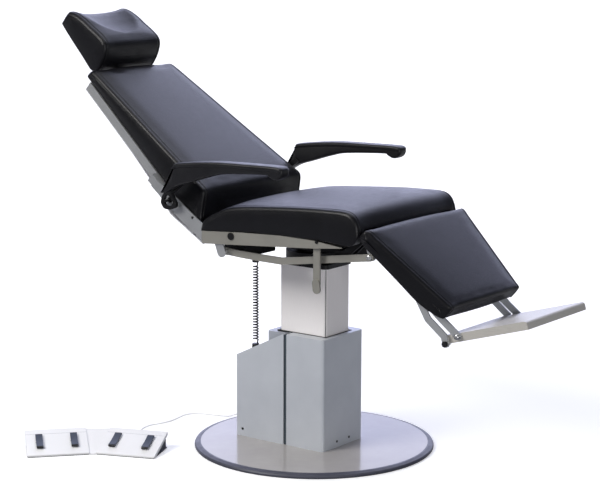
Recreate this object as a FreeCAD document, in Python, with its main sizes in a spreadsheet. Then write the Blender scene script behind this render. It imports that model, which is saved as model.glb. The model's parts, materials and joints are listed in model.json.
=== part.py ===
# Ophthalmic examination chair: round floor base, lifting column, swivelling seat, reclining back
# with headrest and armrests, legrest with a level footplate, and a pair of foot controls.
# Millimetres. Origin: centre of the base's underside on the floor. +X to the feet, +Z up, and the
# lever is on the -Y side. The whole model is drawn at rest: back and legrest 40 degrees off level.
import FreeCAD, Part
import math
import os
import types

import Sketcher

doc = FreeCAD.newDocument("examination_chair")
sheet = doc.addObject("Spreadsheet::Sheet", "Sheet")
X_AXIS = FreeCAD.Vector(1, 0, 0)
Y_AXIS = FreeCAD.Vector(0, 1, 0)
Z_AXIS = FreeCAD.Vector(0, 0, 1)


# A size and its formula

class Size:
    """A number that knows its formula: text is the expression bound to a property."""

    def __init__(self, text, value):
        self.text = text
        self.value = value

    def __float__(self):
        return float(self.value)

    def __neg__(self):
        return Size(f"(0 - {self.text})", -self.value)

    def __add__(self, other):
        return Size(f"({self.text} + {text_of(other)})", self.value + float(other))

    def __radd__(self, other):
        return Size(f"({text_of(other)} + {self.text})", float(other) + self.value)

    def __sub__(self, other):
        return Size(f"({self.text} - {text_of(other)})", self.value - float(other))

    def __rsub__(self, other):
        return Size(f"({text_of(other)} - {self.text})", float(other) - self.value)

    def __mul__(self, other):
        return Size(f"({self.text} * {text_of(other)})", self.value * float(other))

    __rmul__ = __mul__

    def __truediv__(self, other):
        return Size(f"({self.text} / {text_of(other)})", self.value / float(other))

    def __rtruediv__(self, other):
        return Size(f"({text_of(other)} / {self.text})", float(other) / self.value)


def text_of(value):
    return value.text if isinstance(value, Size) else f"({value!r})"


def cosine(angle):
    return Size(f"cos({angle.text} * 1 deg)", math.cos(math.radians(angle.value)))


def sine(angle):
    return Size(f"sin({angle.text} * 1 deg)", math.sin(math.radians(angle.value)))


ROW = iter(range(1, 1000))


def size(name, value):
    """Writes one driving dimension as a plain number in the sheet and gives it its alias."""
    cell = f"A{next(ROW)}"
    sheet.set(cell, str(value))
    sheet.setAlias(cell, name)
    return Size(f"Sheet.{name}", float(value))


# Building helpers

SUB_PARTS = []


def bind(item, name, value):
    """Binds a property to the sheet through its formula."""
    if isinstance(value, Size):
        item.setExpression(name, value.text)
    else:
        setattr(item, name, value)


def finish(item, label):
    """Names a finished sub-part after the file that it is written to."""
    item.Label = label
    SUB_PARTS.append(item)
    return item


def place(item, x=0, y=0, z=0, angle=0, axis="0; 1; 0"):
    """Binds an object's Placement: its origin, and a turn about one axis, in degrees."""
    spot = f"vector({text_of(x)}; {text_of(y)}; {text_of(z)})"
    item.setExpression("Placement", f"placement({spot}; rotation(vector({axis}); {text_of(angle)}))")
    return item


def box(x0, x1, y0, y1, z0, z1):
    """A block between two corners."""
    item = doc.addObject("Part::Box", "Block")
    bind(item, "Length", x1 - x0)
    bind(item, "Width", y1 - y0)
    bind(item, "Height", z1 - z0)
    return place(item, x0, y0, z0)


def rod(radius, length, x=0, y=0, z=0, along="z"):
    """A round bar that starts at a point and runs along one axis."""
    item = doc.addObject("Part::Cylinder", "Round")
    bind(item, "Radius", radius)
    bind(item, "Height", length)
    turn = {"z": (0, "0; 1; 0"), "x": (90, "0; 1; 0"), "y": (-90, "1; 0; 0")}[along]
    return place(item, x, y, z, *turn)


def cut(base, *tools):
    for tool in tools:
        item = doc.addObject("Part::Cut", "Cut")
        item.Base = base
        item.Tool = tool
        base = item
    return base


def fuse(*shapes):
    item = doc.addObject("Part::MultiFuse", "Fuse")
    item.Shapes = list(shapes)
    return item


def group(*shapes):
    """Identical or paired pieces kept as separate solids in one node."""
    item = doc.addObject("Part::Compound", "Group")
    item.Links = list(shapes)
    return item


def soften(item, radius, *wanted):
    """Rounds straight edges of a Part shape that run along Z through the given (x, y) corners."""
    doc.recompute()
    edges = []
    for number, edge in enumerate(item.Shape.Edges, 1):
        ends = [vertex.Point for vertex in edge.Vertexes]
        if len(ends) < 2 or math.hypot(ends[0].x - ends[1].x, ends[0].y - ends[1].y) > NEAR:
            continue
        for x, y in wanted:
            if math.hypot(ends[0].x - float(x), ends[0].y - float(y)) < NEAR:
                edges.append((number, float(radius), float(radius)))
    rounded = doc.addObject("Part::Fillet", "Rounded")
    rounded.Base = item
    rounded.Edges = edges
    return rounded


def outline_sketch(body, plane_role, outline):
    """A closed outline whose corners are bound to the sheet, on one of the body's own planes."""
    sketch = body.newObject("Sketcher::SketchObject", "Outline")
    plane = [item for item in body.Origin.OriginFeatures if item.Role == plane_role][0]
    sketch.AttachmentSupport = [(plane, "")]
    sketch.MapMode = "FlatFace"
    points = [FreeCAD.Vector(float(u), float(v), 0) for u, v in outline]
    count = len(points)
    for index in range(count):
        sketch.addGeometry(Part.LineSegment(points[index], points[(index + 1) % count]))
    for index in range(count):
        sketch.addConstraint(Sketcher.Constraint("Coincident", index, 2, (index + 1) % count, 1))
    for index, corner in enumerate(outline):
        for kind, part in zip(("DistanceX", "DistanceY"), corner):
            rule = Sketcher.Constraint(kind, -1, 1, index, 1, float(part))
            number = sketch.addConstraint(rule)
            if isinstance(part, Size):
                sketch.setExpression(f"Constraints[{number}]", part.text)
    return sketch


def plate(outline, y0, y1, frame=None, rounds=()):
    """A flat piece: an outline in the XZ plane, as thick as y1 - y0, with some corners rounded.

    frame is the (x, z, angle) of a tilted assembly; rounds is a list of (radius, corner numbers).
    """
    body = doc.addObject("PartDesign::Body", "Plate")
    pad = body.newObject("PartDesign::Pad", "Pad")
    pad.Profile = outline_sketch(body, "XZ_Plane", outline)
    pad.SideType = "Symmetric"
    bind(pad, "Length", y1 - y0)
    last = pad
    for radius, corners in rounds:
        doc.recompute()
        names = []
        for number, edge in enumerate(last.Shape.Edges, 1):
            ends = [vertex.Point for vertex in edge.Vertexes]
            if len(ends) < 2 or math.hypot(ends[0].x - ends[1].x, ends[0].z - ends[1].z) > NEAR:
                continue
            for corner in corners:
                u, v = outline[corner]
                if math.hypot(ends[0].x - float(u), ends[0].z - float(v)) < NEAR:
                    names.append(f"Edge{number}")
        sharp = last
        last = body.newObject("PartDesign::Fillet", "Round")
        last.Base = (sharp, names)
        bind(last, "Radius", radius)
        body.Tip = last
    x, z, angle = frame if frame else (0, 0, 0)
    return place(body, x, (y0 + y1) / 2, z, angle)


def pin(radius, y0, y1, u, v, frame=None):
    """A round bar along Y at (u, v) of a tilted assembly."""
    x, z = spot(u, v, frame)
    return rod(radius, y1 - y0, x, y0, z, "y")


def spot(u, v, frame=None):
    """Turns a point of a tilted assembly into x and z of the whole chair."""
    if not frame:
        return u, v
    x, z, angle = frame
    return x + u * cosine(angle) + v * sine(angle), z + v * cosine(angle) - u * sine(angle)


def turned(profile, label):
    """A turned piece: a closed (radius, height) outline spun about Z."""
    body = doc.addObject("PartDesign::Body", "Turned")
    spin = body.newObject("PartDesign::Revolution", "Spin")
    sketch = outline_sketch(body, "XZ_Plane", profile)
    spin.Profile = sketch
    spin.ReferenceAxis = (sketch, ["V_Axis"])
    spin.Angle = 360
    return finish(body, label)


def made(label, shape, frame=None):
    """A sub-part whose shape is computed here, from the sheet's numbers, and then put in place."""
    item = doc.addObject("Part::Feature", "Formed")
    item.Shape = shape
    if frame:
        place(item, frame[0], 0, frame[1], frame[2])
    return finish(item, label)


# Driving dimensions: lengths in millimetres, names ending in angle in degrees, counts as counts. A rise
# is a height over the seat cushion's underside (the first one over the swivel disc), and an inset is a distance in from the seat's side.

SIZES = [
    ("near", 0.01),
    ("overrun", 5),
    ("cut_reach", 54),
    ("soft_gap", 0.3),
    ("run_gap", 0.05),
    ("slide_gap", 0.5),
    ("base_radius", 350),
    ("base_plate_thick", 12),
    ("rim_width", 12),
    ("rim_height", 10),
    ("rim_lip", 14),
    ("rim_bevel", 4),
    ("laminate_thick", 2),
    ("laminate_margin", 5.5),
    ("column_length", 166),
    ("column_width", 120),
    ("column_wall", 4),
    ("column_corner", 12),
    ("column_bottom", 205),
    ("column_top", 539),
    ("guide_wall", 4),
    ("guide_pad_thick", 3),
    ("guide_pad_height", 40),
    ("guide_pad_inset", 25),
    ("guide_foot_margin", 9),
    ("guide_foot_thick", 8),
    ("guide_headroom", 8),
    ("cover_front", 103),
    ("cover_half", 98),
    ("cover_top", 342),
    ("cover_wall", 2.5),
    ("cover_corner", 10),
    ("cover_joint_rear", -38),
    ("cover_seal_width", 9),
    ("cover_seal_inset", 1.5),
    ("rear_cover_back", -210),
    ("rear_cover_half", 100),
    ("rear_cover_low_top", 258),
    ("rear_cover_crown", 1),
    ("cover_screw_radius", 3.5),
    ("cover_screw_head", 1.5),
    ("front_screw_height", 18),
    ("front_screw_pitch", 60),
    ("side_screw_inset", 22),
    ("motor_radius", 24),
    ("motor_length", 120),
    ("motor_offset", 44),
    ("actuator_radius", 20),
    ("actuator_bore", 13),
    ("actuator_top", 300),
    ("actuator_foot", 20),
    ("lift_rod_radius", 11),
    ("lift_rod_bottom", 225),
    ("control_box_length", 50),
    ("control_box_width", 130),
    ("control_box_height", 150),
    ("control_box_lift", 20),
    ("head_thick", 12),
    ("head_margin", 4),
    ("bearing_radius", 62),
    ("bearing_thick", 9),
    ("cable_arm_width", 24),
    ("cable_arm_thick", 6),
    ("cable_arm_drop", 3),
    ("coil_axis_x", -190),
    ("coil_axis_y", -35),
    ("coil_wire_radius", 2),
    ("coil_radius", 7),
    ("coil_turns_count", 27),
    ("coil_end_run", 5),
    ("gland_radius", 11),
    ("gland_tip_radius", 10),
    ("gland_length", 16),
    ("gland_sink", 3),
    ("disc_radius", 84),
    ("disc_thick", 22),
    ("disc_neck_radius", 56),
    ("frame_beam_low_rise", -39.3),
    ("frame_beam_top_rise", -13.3),
    ("frame_beam_width", 34),
    ("frame_beam_inset", 132),
    ("frame_rear", -186),
    ("frame_front", 262),
    ("frame_cross_width", 44),
    ("seat_half", 250),
    ("rail_thick", 4),
    ("rail_rear", -216),
    ("rail_rear_low_rise", -36.3),
    ("rail_rear_top_rise", -0.3),
    ("rail_mid", 177),
    ("rail_mid_low_rise", -7.3),
    ("rail_mid_top_rise", 14.2),
    ("rail_front", 271),
    ("rail_front_low_rise", 2.7),
    ("rail_front_top_rise", 4.7),
    ("rail_crest", 64),
    ("rail_crest_top_rise", 15.7),
    ("rail_waist", -76),
    ("rail_waist_top_rise", 9.7),
    ("rail_cap_radius", 10.5),
    ("rail_cap_thick", 3),
    ("rail_cap_rear", -109),
    ("rail_cap_rear_rise", -4.3),
    ("rail_stud_rise", 11.7),
    ("rail_stud_x", 189),
    ("rail_stud_radius", 4.5),
    ("rail_arm_front", 150),
    ("rail_arm_width", 14),
    ("rail_arm_thick", 8),
    ("frame_cross_inset", 50),
    ("board_rear", -155),
    ("board_rear_top_rise", 2.7),
    ("seat_rear", -221),
    ("seat_nose", 322),
    ("seat_top_rise", 103.2),
    ("seat_foot_rise", 63.3),
    ("seat_crown", 7),
    ("seat_tuck", 9),
    ("edge_roll", 12),
    ("back_pivot_x", -170),
    ("back_pivot_rise", 0.7),
    ("back_angle", 40),
    ("shaft_radius", 9),
    ("boss_radius", 14),
    ("leg_boss_radius", 10),
    ("leg_shaft_radius", 7),
    ("hinge_recess", 18),
    ("arm_slot_length", 26),
    ("foot_slot_depth", -2.5),
    ("link_slot_length", 48),
    ("link_slot_depth", 4),
    ("leg_board_end_gap", 21),
    ("leg_arm_end_gap", 15),
    ("leg_arm_knee", 27),
    ("motor_case_inset", 12),
    ("motor_case_length", 76),
    ("motor_case_outer", 200),
    ("motor_case_inner", 60),
    ("motor_case_height", 32),
    ("side_plate_thick", 4),
    ("side_plate_inset", 10),
    ("side_plate_length", 255),
    ("back_rail_top", -43),
    ("back_rail_low", -70),
    ("back_rail_end", 655),
    ("back_rail_start", 232),
    ("back_rail_thick", 5),
    ("back_top_inset", 68),
    ("back_low_inset", 12),
    ("back_cushion_end", 679),
    ("back_cushion_start", 58),
    ("back_front", 50),
    ("back_crown", 7),
    ("back_shell_thick", 3),
    ("back_shell_low", -95),
    ("arm_gap", 15),
    ("arm_width", 43),
    ("arm_pivot_x", -338),
    ("arm_pivot_rise", 76.7),
    ("arm_pin_radius", 7),
    ("arm_bracket_width", 30),
    ("arm_bracket_thick", 6),
    ("hanger_width", 27),
    ("arm_rear", -322),
    ("arm_length", 426),
    ("arm_low_rise", 107.7),
    ("arm_depth", 106),
    ("arm_back_round", 9),
    ("head_half", 130),
    ("head_start", 692),
    ("head_length", 200),
    ("head_low", -54),
    ("head_depth", 102),
    ("head_foot", -50),
    ("head_bar_width", 40),
    ("head_bar_thick", 8),
    ("head_bar_low", 540),
    ("head_bar_top", 698),
    ("head_pivot_u", 690),
    ("head_pivot_v", -62),
    ("head_pin_radius", 5),
    ("head_hub_radius", 10),
    ("head_plate_thick", 5),
    ("head_plate_half", 72),
    ("head_plate_length", 124),
    ("head_hollow", 9),
    ("leg_pivot_x", 325),
    ("leg_pivot_rise", 37.7),
    ("leg_angle", 40),
    ("leg_top_inset", 1),
    ("leg_low_inset", 68),
    ("leg_crown", 6),
    ("leg_start", -2),
    ("leg_length", 306),
    ("leg_low", -27),
    ("leg_depth", 58.5),
    ("leg_board_top", -9),
    ("leg_board_thick", 6),
    ("link_reach_x", 20),
    ("link_reach_z", -56),
    ("link_bar_inset", 35),
    ("link_bar_thick", 6),
    ("link_bar_height", 20),
    ("link_lug_width", 29),
    ("link_bar_sag", 21),
    ("link_pin_radius", 6),
    ("lever_plate_thick", 5),
    ("lever_gap", 1),
    ("foot_pin_x", 588),
    ("foot_pin_rise", -210.3),
    ("foot_link_x", -34),
    ("foot_link_z", -24),
    ("foot_link_y", 168),
    ("foot_link_width", 20),
    ("foot_link_thick", 5),
    ("foot_tilt_angle", -16.5),
    ("foot_inset", 94),
    ("foot_sheet", 2.5),
    ("foot_top", 8),
    ("foot_flange", 23),
    ("foot_flange_taper", 16.1),
    ("foot_rear", -50),
    ("foot_front", 213),
    ("foot_corner", 9),
    ("lever_x", 181),
    ("lever_rise", 0.7),
    ("lever_inset", 15),
    ("lever_spindle_radius", 4),
    ("lever_width", 22),
    ("lever_bend_rise", -105.3),
    ("lever_tip_rise", -132.3),
    ("lever_joggle", 7),
    ("pedal_unit_width", 178),
    ("pedal_unit_depth", 120),
    ("pedal_unit_front", 7),
    ("pedal_unit_rear", 49),
    ("pedal_strip", 22),
    ("join_drop", 4),
    ("pedal_base_height", 4),
    ("pedal_wall", 2),
    ("pedal_stem", 8),
    ("pedal_length", 78),
    ("pedal_width", 20),
    ("pedal_offset", 50),
    ("pedal_thick", 5),
    ("pedal_setback", 2),
    ("wedge_angle", -23.2),
    ("pedal_slot_gap", 1),
    ("left_unit_x", -548.2),
    ("left_unit_y", -510.4),
    ("left_unit_angle", 48.1),
    ("right_unit_x", -372.3),
    ("right_unit_y", -383),
    ("right_unit_angle", 21.9),
    ("foot_cord_radius", 2),
    ("inlet_radius", 4),
    ("inlet_tip_radius", 3),
    ("inlet_length", 20),
    ("inlet_y", 60),
    ("inlet_z", 25),
    ("outlet_offset", -35),
    ("outlet_z", 12),
]
S = types.SimpleNamespace(**{name: size(name, value) for name, value in SIZES})
S.side_plate_inner = S.seat_half - S.side_plate_inset
S.link_bar_inner = S.seat_half - S.link_bar_inset
S.lever_y = S.seat_half - S.lever_inset
S.arm_inner = S.seat_half + S.arm_gap
S.arm_outer = S.arm_inner + S.arm_width
S.back_low_half = S.seat_half - S.back_low_inset
S.back_top_half = S.seat_half - S.back_top_inset
S.leg_top_half = S.seat_half - S.leg_top_inset
S.leg_low_half = S.seat_half - S.leg_low_inset
S.foot_half = S.seat_half - S.foot_inset
S.frame_beam_spread = S.seat_half - S.frame_beam_inset
S.frame_cross_half = S.seat_half - S.frame_cross_inset
S.seat_foot = S.column_top + S.head_thick + S.bearing_thick + S.disc_thick + S.seat_foot_rise
S.frame_beam_low = S.seat_foot + S.frame_beam_low_rise
S.frame_beam_top = S.seat_foot + S.frame_beam_top_rise
S.rail_rear_low = S.seat_foot + S.rail_rear_low_rise
S.rail_rear_top = S.seat_foot + S.rail_rear_top_rise
S.rail_mid_low = S.seat_foot + S.rail_mid_low_rise
S.rail_mid_top = S.seat_foot + S.rail_mid_top_rise
S.rail_front_low = S.seat_foot + S.rail_front_low_rise
S.rail_front_top = S.seat_foot + S.rail_front_top_rise
S.rail_crest_top = S.seat_foot + S.rail_crest_top_rise
S.rail_waist_top = S.seat_foot + S.rail_waist_top_rise
S.rail_cap_rear_z = S.seat_foot + S.rail_cap_rear_rise
S.rail_stud_z = S.seat_foot + S.rail_stud_rise
S.board_rear_top = S.seat_foot + S.board_rear_top_rise
S.seat_top = S.seat_foot + S.seat_top_rise
S.back_pivot_z = S.seat_foot + S.back_pivot_rise
S.leg_pivot_z = S.seat_foot + S.leg_pivot_rise
S.arm_pivot_z = S.seat_foot + S.arm_pivot_rise
S.arm_low = S.seat_foot + S.arm_low_rise
S.foot_pin_z = S.seat_foot + S.foot_pin_rise
S.lever_z = S.seat_foot + S.lever_rise
S.lever_bend_z = S.seat_foot + S.lever_bend_rise
S.lever_tip_z = S.seat_foot + S.lever_tip_rise
NEAR = float(S.near)
doc.recompute()

BACK = (S.back_pivot_x, S.back_pivot_z, S.back_angle)
LEG = (S.leg_pivot_x, S.leg_pivot_z, S.leg_angle)
FOOT = (S.foot_pin_x, S.foot_pin_z, S.foot_tilt_angle)
floor_top = S.base_plate_thick + S.laminate_thick
column_x = S.column_length / 2
column_y = S.column_width / 2


# The floor base and the lifting column

def floor_base():
    plate_radius = S.base_radius - S.rim_width
    finish(rod(plate_radius, S.base_plate_thick), "base_plate")
    foot_x = guide_x + S.guide_foot_margin
    foot_y = guide_y + S.guide_foot_margin
    disc = rod(plate_radius - S.laminate_margin, S.laminate_thick, z=S.base_plate_thick)
    opening = box(-foot_x, foot_x, -foot_y, foot_y, 0, S.base_plate_thick + S.overrun)
    finish(cut(disc, opening), "base_laminate")
    inner = plate_radius
    rim = [(inner, 0), (S.base_radius - S.rim_bevel / 2, 0), (S.base_radius, S.rim_bevel / 2),
           (S.base_radius, S.rim_height - S.rim_bevel), (S.base_radius - S.rim_bevel / 2, S.rim_height),
           (inner, S.rim_lip), (inner - S.laminate_margin, S.rim_lip),
           (inner - S.laminate_margin, S.base_plate_thick), (inner, S.base_plate_thick)]
    turned(rim, "base_rim")


def slope_at(x):
    """Height of the rear cover's sloping top."""
    return S.rear_cover_low_top + (x - S.rear_cover_back) * slope


guide_x = column_x + S.guide_pad_thick + S.guide_wall
guide_y = column_y + S.guide_pad_thick + S.guide_wall
slope = (S.cover_top + S.rear_cover_crown - S.rear_cover_low_top) / (S.cover_joint_rear - S.rear_cover_back)
guide_top = slope_at(-guide_x) - S.cover_wall - S.guide_headroom


def column_guide():
    """The fixed outer tube on its foot flange, and the sliding pads that line it."""
    low = S.base_plate_thick
    foot = box(-guide_x - S.guide_foot_margin, guide_x + S.guide_foot_margin,
               -guide_y - S.guide_foot_margin, guide_y + S.guide_foot_margin,
               low, low + S.guide_foot_thick)
    tube = box(-guide_x, guide_x, -guide_y, guide_y, low, guide_top)
    inner_x = guide_x - S.guide_wall
    inner_y = guide_y - S.guide_wall
    hollow = box(-inner_x, inner_x, -inner_y, inner_y, low - S.overrun, guide_top + S.overrun)
    finish(cut(fuse(foot, tube), hollow), "column_guide")
    pads = []
    top = guide_top - S.guide_headroom
    low = top - S.guide_pad_height
    slack = S.run_gap
    half_x = column_x - S.guide_pad_inset
    half_y = column_y - S.guide_pad_inset
    for side in (-1, 1):
        near = sorted((side * (column_y + slack), side * inner_y), key=float)
        pads.append(box(-half_x, half_x, near[0], near[1], low, top))
        near = sorted((side * (column_x + slack), side * inner_x), key=float)
        pads.append(box(near[0], near[1], -half_y, half_y, low, top))
    finish(group(*pads), "guide_pads")


def lift_actuator():
    """Screw actuator in the column: its tube and motor stand on the base, its rod lifts the head."""
    low = S.base_plate_thick
    tube = rod(S.actuator_radius, S.actuator_top - low, z=low)
    foot = box(-S.motor_offset - S.motor_radius, S.actuator_radius, -S.actuator_radius, S.actuator_radius,
               low, low + S.actuator_foot)
    motor = rod(S.motor_radius, S.motor_length, x=-S.motor_offset, z=low + S.actuator_foot - S.overrun)
    bore = rod(S.actuator_bore, S.actuator_top, z=low + S.actuator_foot)
    finish(cut(fuse(tube, foot, motor), bore), "lift_actuator")
    finish(rod(S.lift_rod_radius, S.column_top - S.lift_rod_bottom, z=S.lift_rod_bottom), "lift_rod")


def inner_column():
    """The brushed steel column that slides in the guide, and the plate that closes its head."""
    outer = box(-column_x, column_x, -column_y, column_y, S.column_bottom, S.column_top)
    corners = [(x, y) for x in (-column_x, column_x) for y in (-column_y, column_y)]
    outer = soften(outer, S.column_corner, *corners)
    inner_x = column_x - S.column_wall
    inner_y = column_y - S.column_wall
    hollow = box(-inner_x, inner_x, -inner_y, inner_y,
                 S.column_bottom - S.overrun, S.column_top + S.overrun)
    corners = [(x, y) for x in (-inner_x, inner_x) for y in (-inner_y, inner_y)]
    finish(cut(outer, soften(hollow, S.column_corner - S.column_wall, *corners)), "inner_column")
    head_x = column_x + S.head_margin
    head_y = column_y + S.head_margin
    head = box(-head_x, head_x, -head_y, head_y, S.column_top, head_top)
    corners = [(x, y) for x in (-head_x, head_x) for y in (-head_y, head_y)]
    bearing = rod(S.bearing_radius, S.bearing_thick + S.head_thick, z=S.column_top)
    head = fuse(soften(head, S.column_corner, *corners), bearing)
    finish(cut(head, arm_block()), "column_head")


head_top = S.column_top + S.head_thick
swivel_z = head_top + S.bearing_thick


def arm_block():
    """The outline of the cable arm, which lets into the rear of the column head."""
    top = head_top - S.cable_arm_drop
    return box(S.coil_axis_x - S.cable_arm_width / 2, -column_x + S.cable_arm_width,
               S.coil_axis_y - S.cable_arm_width / 2, S.coil_axis_y + S.cable_arm_width / 2,
               top - S.cable_arm_thick, top)


def cable_arm():
    """Black arm on the column head that holds the curly cable clear of the column."""
    finish(arm_block(), "cable_arm")


def housing_covers():
    """Folded sheet covers round the guide: a front cover, a rear cover with the electronics, a seal."""
    low = floor_top
    front = cover_cap(seal_front, S.cover_front, S.cover_half, low)
    finish(front, "front_cover")
    back = S.rear_cover_back
    joint = S.cover_joint_rear
    crown = S.cover_top + S.rear_cover_crown
    wall = S.cover_wall
    outer = plate([(back, low), (joint, low), (joint, crown), (back, S.rear_cover_low_top)],
                  -S.rear_cover_half, S.rear_cover_half)
    inner = plate([(back + wall, low - S.overrun), (joint + S.overrun, low - S.overrun),
                   (joint + S.overrun, crown - wall + slope * S.overrun),
                   (back + wall, S.rear_cover_low_top - wall + slope * wall)],
                  wall - S.rear_cover_half, S.rear_cover_half - wall)
    notch = box(-column_x - S.slide_gap, joint + S.overrun, -column_y - S.slide_gap,
                column_y + S.slide_gap, S.rear_cover_low_top, crown + S.overrun)
    gland_hole = rod(S.gland_radius, S.cover_wall + S.gland_length, S.coil_axis_x, S.coil_axis_y, gland_low)
    cord_hole = rod(S.inlet_radius, wall + S.overrun * 2, back - S.overrun, S.inlet_y, S.inlet_z, "x")
    finish(cut(outer, inner, notch, gland_hole, cord_hole), "rear_cover")
    inset = S.cover_seal_inset
    half = S.cover_half - inset
    seal = box(joint, seal_front, -half, half, low, S.cover_top - inset)
    hollow = box(joint - S.overrun, seal_front + S.overrun, wall * 2 - half, half - wall * 2,
                 low - S.overrun, S.cover_top - inset - wall * 2)
    throat = box(joint - S.overrun, seal_front + S.overrun, -column_y - S.slide_gap,
                 column_y + S.slide_gap, low, S.cover_top + S.overrun)
    finish(cut(seal, hollow, throat), "cover_seal")


seal_front = S.cover_joint_rear + S.cover_seal_width


def cover_cap(x0, x1, half, low):
    """An open-bottomed sheet box with rounded front corners and an opening for the column."""
    wall = S.cover_wall
    outer = soften(box(x0, x1, -half, half, low, S.cover_top), S.cover_corner,
                   (x1, -half), (x1, half))
    inner = box(x0 - S.overrun, x1 - wall, wall - half, half - wall,
                low - S.overrun, S.cover_top - wall)
    inner = soften(inner, S.cover_corner - wall, (x1 - wall, wall - half), (x1 - wall, half - wall))
    throat = box(x0 - S.overrun, column_x + S.slide_gap, -column_y - S.slide_gap,
                 column_y + S.slide_gap, low, S.cover_top + S.overrun)
    return cut(outer, inner, throat)


def cover_fixings():
    """Small round-headed screws of the covers, and the control electronics in the rear cover."""
    head = S.cover_screw_head
    screws = []
    for side in (-1, 1):
        screws.append(rod(S.cover_screw_radius, head, S.cover_front, side * S.front_screw_pitch / 2,
                          floor_top + S.front_screw_height, "x"))
        y0, y1 = span(side, S.rear_cover_half, S.rear_cover_half + head)
        screws.append(pin(S.cover_screw_radius, y0, y1, S.rear_cover_back + S.side_screw_inset,
                          floor_top + S.side_screw_inset))
    finish(group(*screws), "cover_screws")
    back = S.rear_cover_back + S.cover_wall
    low = floor_top + S.control_box_lift
    finish(box(back, back + S.control_box_length, -S.control_box_width / 2, S.control_box_width / 2,
               low, low + S.control_box_height), "control_box")


gland_low = slope_at(S.coil_axis_x) - S.gland_radius * slope - S.gland_sink
gland_top = gland_low + S.gland_length + S.gland_sink
coil_bottom = gland_top + S.gland_sink
arm_low = head_top - S.cable_arm_drop - S.cable_arm_thick
coil_top = arm_low - S.gland_length


def taper(radius, tip, length, x, y, z, angle=0, axis="0; 1; 0"):
    """A tapered collar that starts at a point and runs along its turned Z axis."""
    item = doc.addObject("Part::Cone", "Taper")
    bind(item, "Radius1", radius)
    bind(item, "Radius2", tip)
    bind(item, "Height", length)
    return place(item, x, y, z, angle, axis)


def cable_glands():
    """The collars at both ends of the curly cable."""
    x = S.coil_axis_x
    y = S.coil_axis_y
    stem = rod(S.gland_radius, S.gland_length + S.gland_sink, x, y, gland_low)
    tip = taper(S.gland_radius, S.gland_tip_radius, S.gland_sink, x, y, gland_top)
    finish(fuse(stem, tip), "lower_cable_gland")
    finish(taper(S.gland_radius, S.gland_tip_radius, S.gland_length, x, y, arm_low, 180), "upper_cable_gland")


def biarc(start, start_way, end, end_way):
    """Two arcs that join two points with given directions, meeting smoothly between them."""
    span = end - start
    ways = start_way + end_way
    spread = 2 * (1 - start_way.dot(end_way))
    along = span.dot(ways)
    if spread > NEAR * NEAR:
        reach = (-along + math.sqrt(along * along + spread * span.dot(span))) / spread
    else:
        reach = span.dot(span) / (2 * along)
    meet = (start + start_way * reach + end - end_way * reach) / 2
    return [arc_from(start, start_way, meet), arc_from(end, end_way * -1, meet)]


def arc_from(start, way, end):
    """The arc that leaves start in a given direction and ends at a point."""
    chord = end - start
    side = way - chord * (way.dot(chord) / chord.dot(chord))
    turn = way.getAngle(chord)
    side.normalize()
    middle = start + chord * 0.5 + side * (chord.Length / 2 * math.tan(turn / 2))
    return Part.Arc(start, middle, end).toShape()


def curly_cable():
    """One unbroken wire: straight ends, and curls between them from half-turn biarcs."""
    radius = float(S.coil_radius)
    run = float(S.coil_end_run)
    low = float(coil_bottom)
    high = float(coil_top)
    turns = int(float(S.coil_turns_count))
    quarter = run
    pitch = (high - low - 2 * (run + quarter)) / (turns - 0.5)
    centre = FreeCAD.Vector(float(S.coil_axis_x), float(S.coil_axis_y), 0)

    def on_curl(angle, height):
        spot_on = FreeCAD.Vector(radius * math.cos(angle), radius * math.sin(angle), height)
        way = FreeCAD.Vector(-radius * math.sin(angle), radius * math.cos(angle), pitch / (2 * math.pi))
        return centre + spot_on, way.normalize()

    quarter_turn = math.pi / 2
    knots = [(on_curl(0, low + run)[0], Z_AXIS)]
    for half in range(2 * turns):
        height = low + run + quarter + pitch * half / 2
        knots.append(on_curl(quarter_turn + math.pi * half, height))
    last = quarter_turn + math.pi * (2 * turns - 1)
    knots.append((on_curl(last + quarter_turn, high - run)[0], Z_AXIS))
    first = knots[0][0]
    final = knots[-1][0]
    edges = [Part.LineSegment(first - Z_AXIS * run, first).toShape()]
    for (start, start_way), (end, end_way) in zip(knots, knots[1:]):
        edges += biarc(start, start_way, end, end_way)
    edges.append(Part.LineSegment(final, final + Z_AXIS * run).toShape())
    path = Part.Wire(Part.__sortEdges__(edges))
    ring = Part.Wire(Part.Circle(first - Z_AXIS * run, Z_AXIS, float(S.coil_wire_radius)).toShape())
    made("curly_cable", path.makePipeShell([ring], True, False))
    samples = path.discretize(Number=60 * turns)
    apart = len(samples) // turns // 2
    least = min((a - b).Length for i, a in enumerate(samples) for b in samples[i + apart:i + 3 * apart])
    print(f"curly cable: length {path.Length:.1f}, least gap {least - 2 * float(S.coil_wire_radius):.2f}")


# The pair of foot controls on the floor

UNITS = {"left": (S.left_unit_x, S.left_unit_y, S.left_unit_angle + 90),
         "right": (S.right_unit_x, S.right_unit_y, S.right_unit_angle + 90)}
unit_front = -S.pedal_unit_depth / 2
unit_rear = S.pedal_unit_depth / 2
strip_front = unit_rear - S.pedal_strip
wedge_rise = (S.pedal_unit_rear - S.pedal_unit_front) / (strip_front - unit_front)
pedal_top = S.pedal_unit_front + (-S.pedal_setback - unit_front) * wedge_rise
pin_drop = S.pedal_thick
PEDAL = (-S.pedal_setback, pedal_top, S.wedge_angle)


def on_unit(item, side):
    """Turns a piece that is drawn about the unit's own centre into its place on the floor."""
    x, y, angle = UNITS[side]
    return place(group(item), x, y, 0, angle, "0; 0; 1")


def wedge(inset, lift, half):
    """The side view of a foot control, drawn in from its outer skin."""
    return plate([(unit_front + inset, lift), (unit_rear - inset, lift),
                  (unit_rear - inset, S.pedal_unit_rear - inset),
                  (strip_front + inset * wedge_rise, S.pedal_unit_rear - inset),
                  (unit_front + inset, S.pedal_unit_front - inset + inset * wedge_rise)], -half, half)


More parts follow.
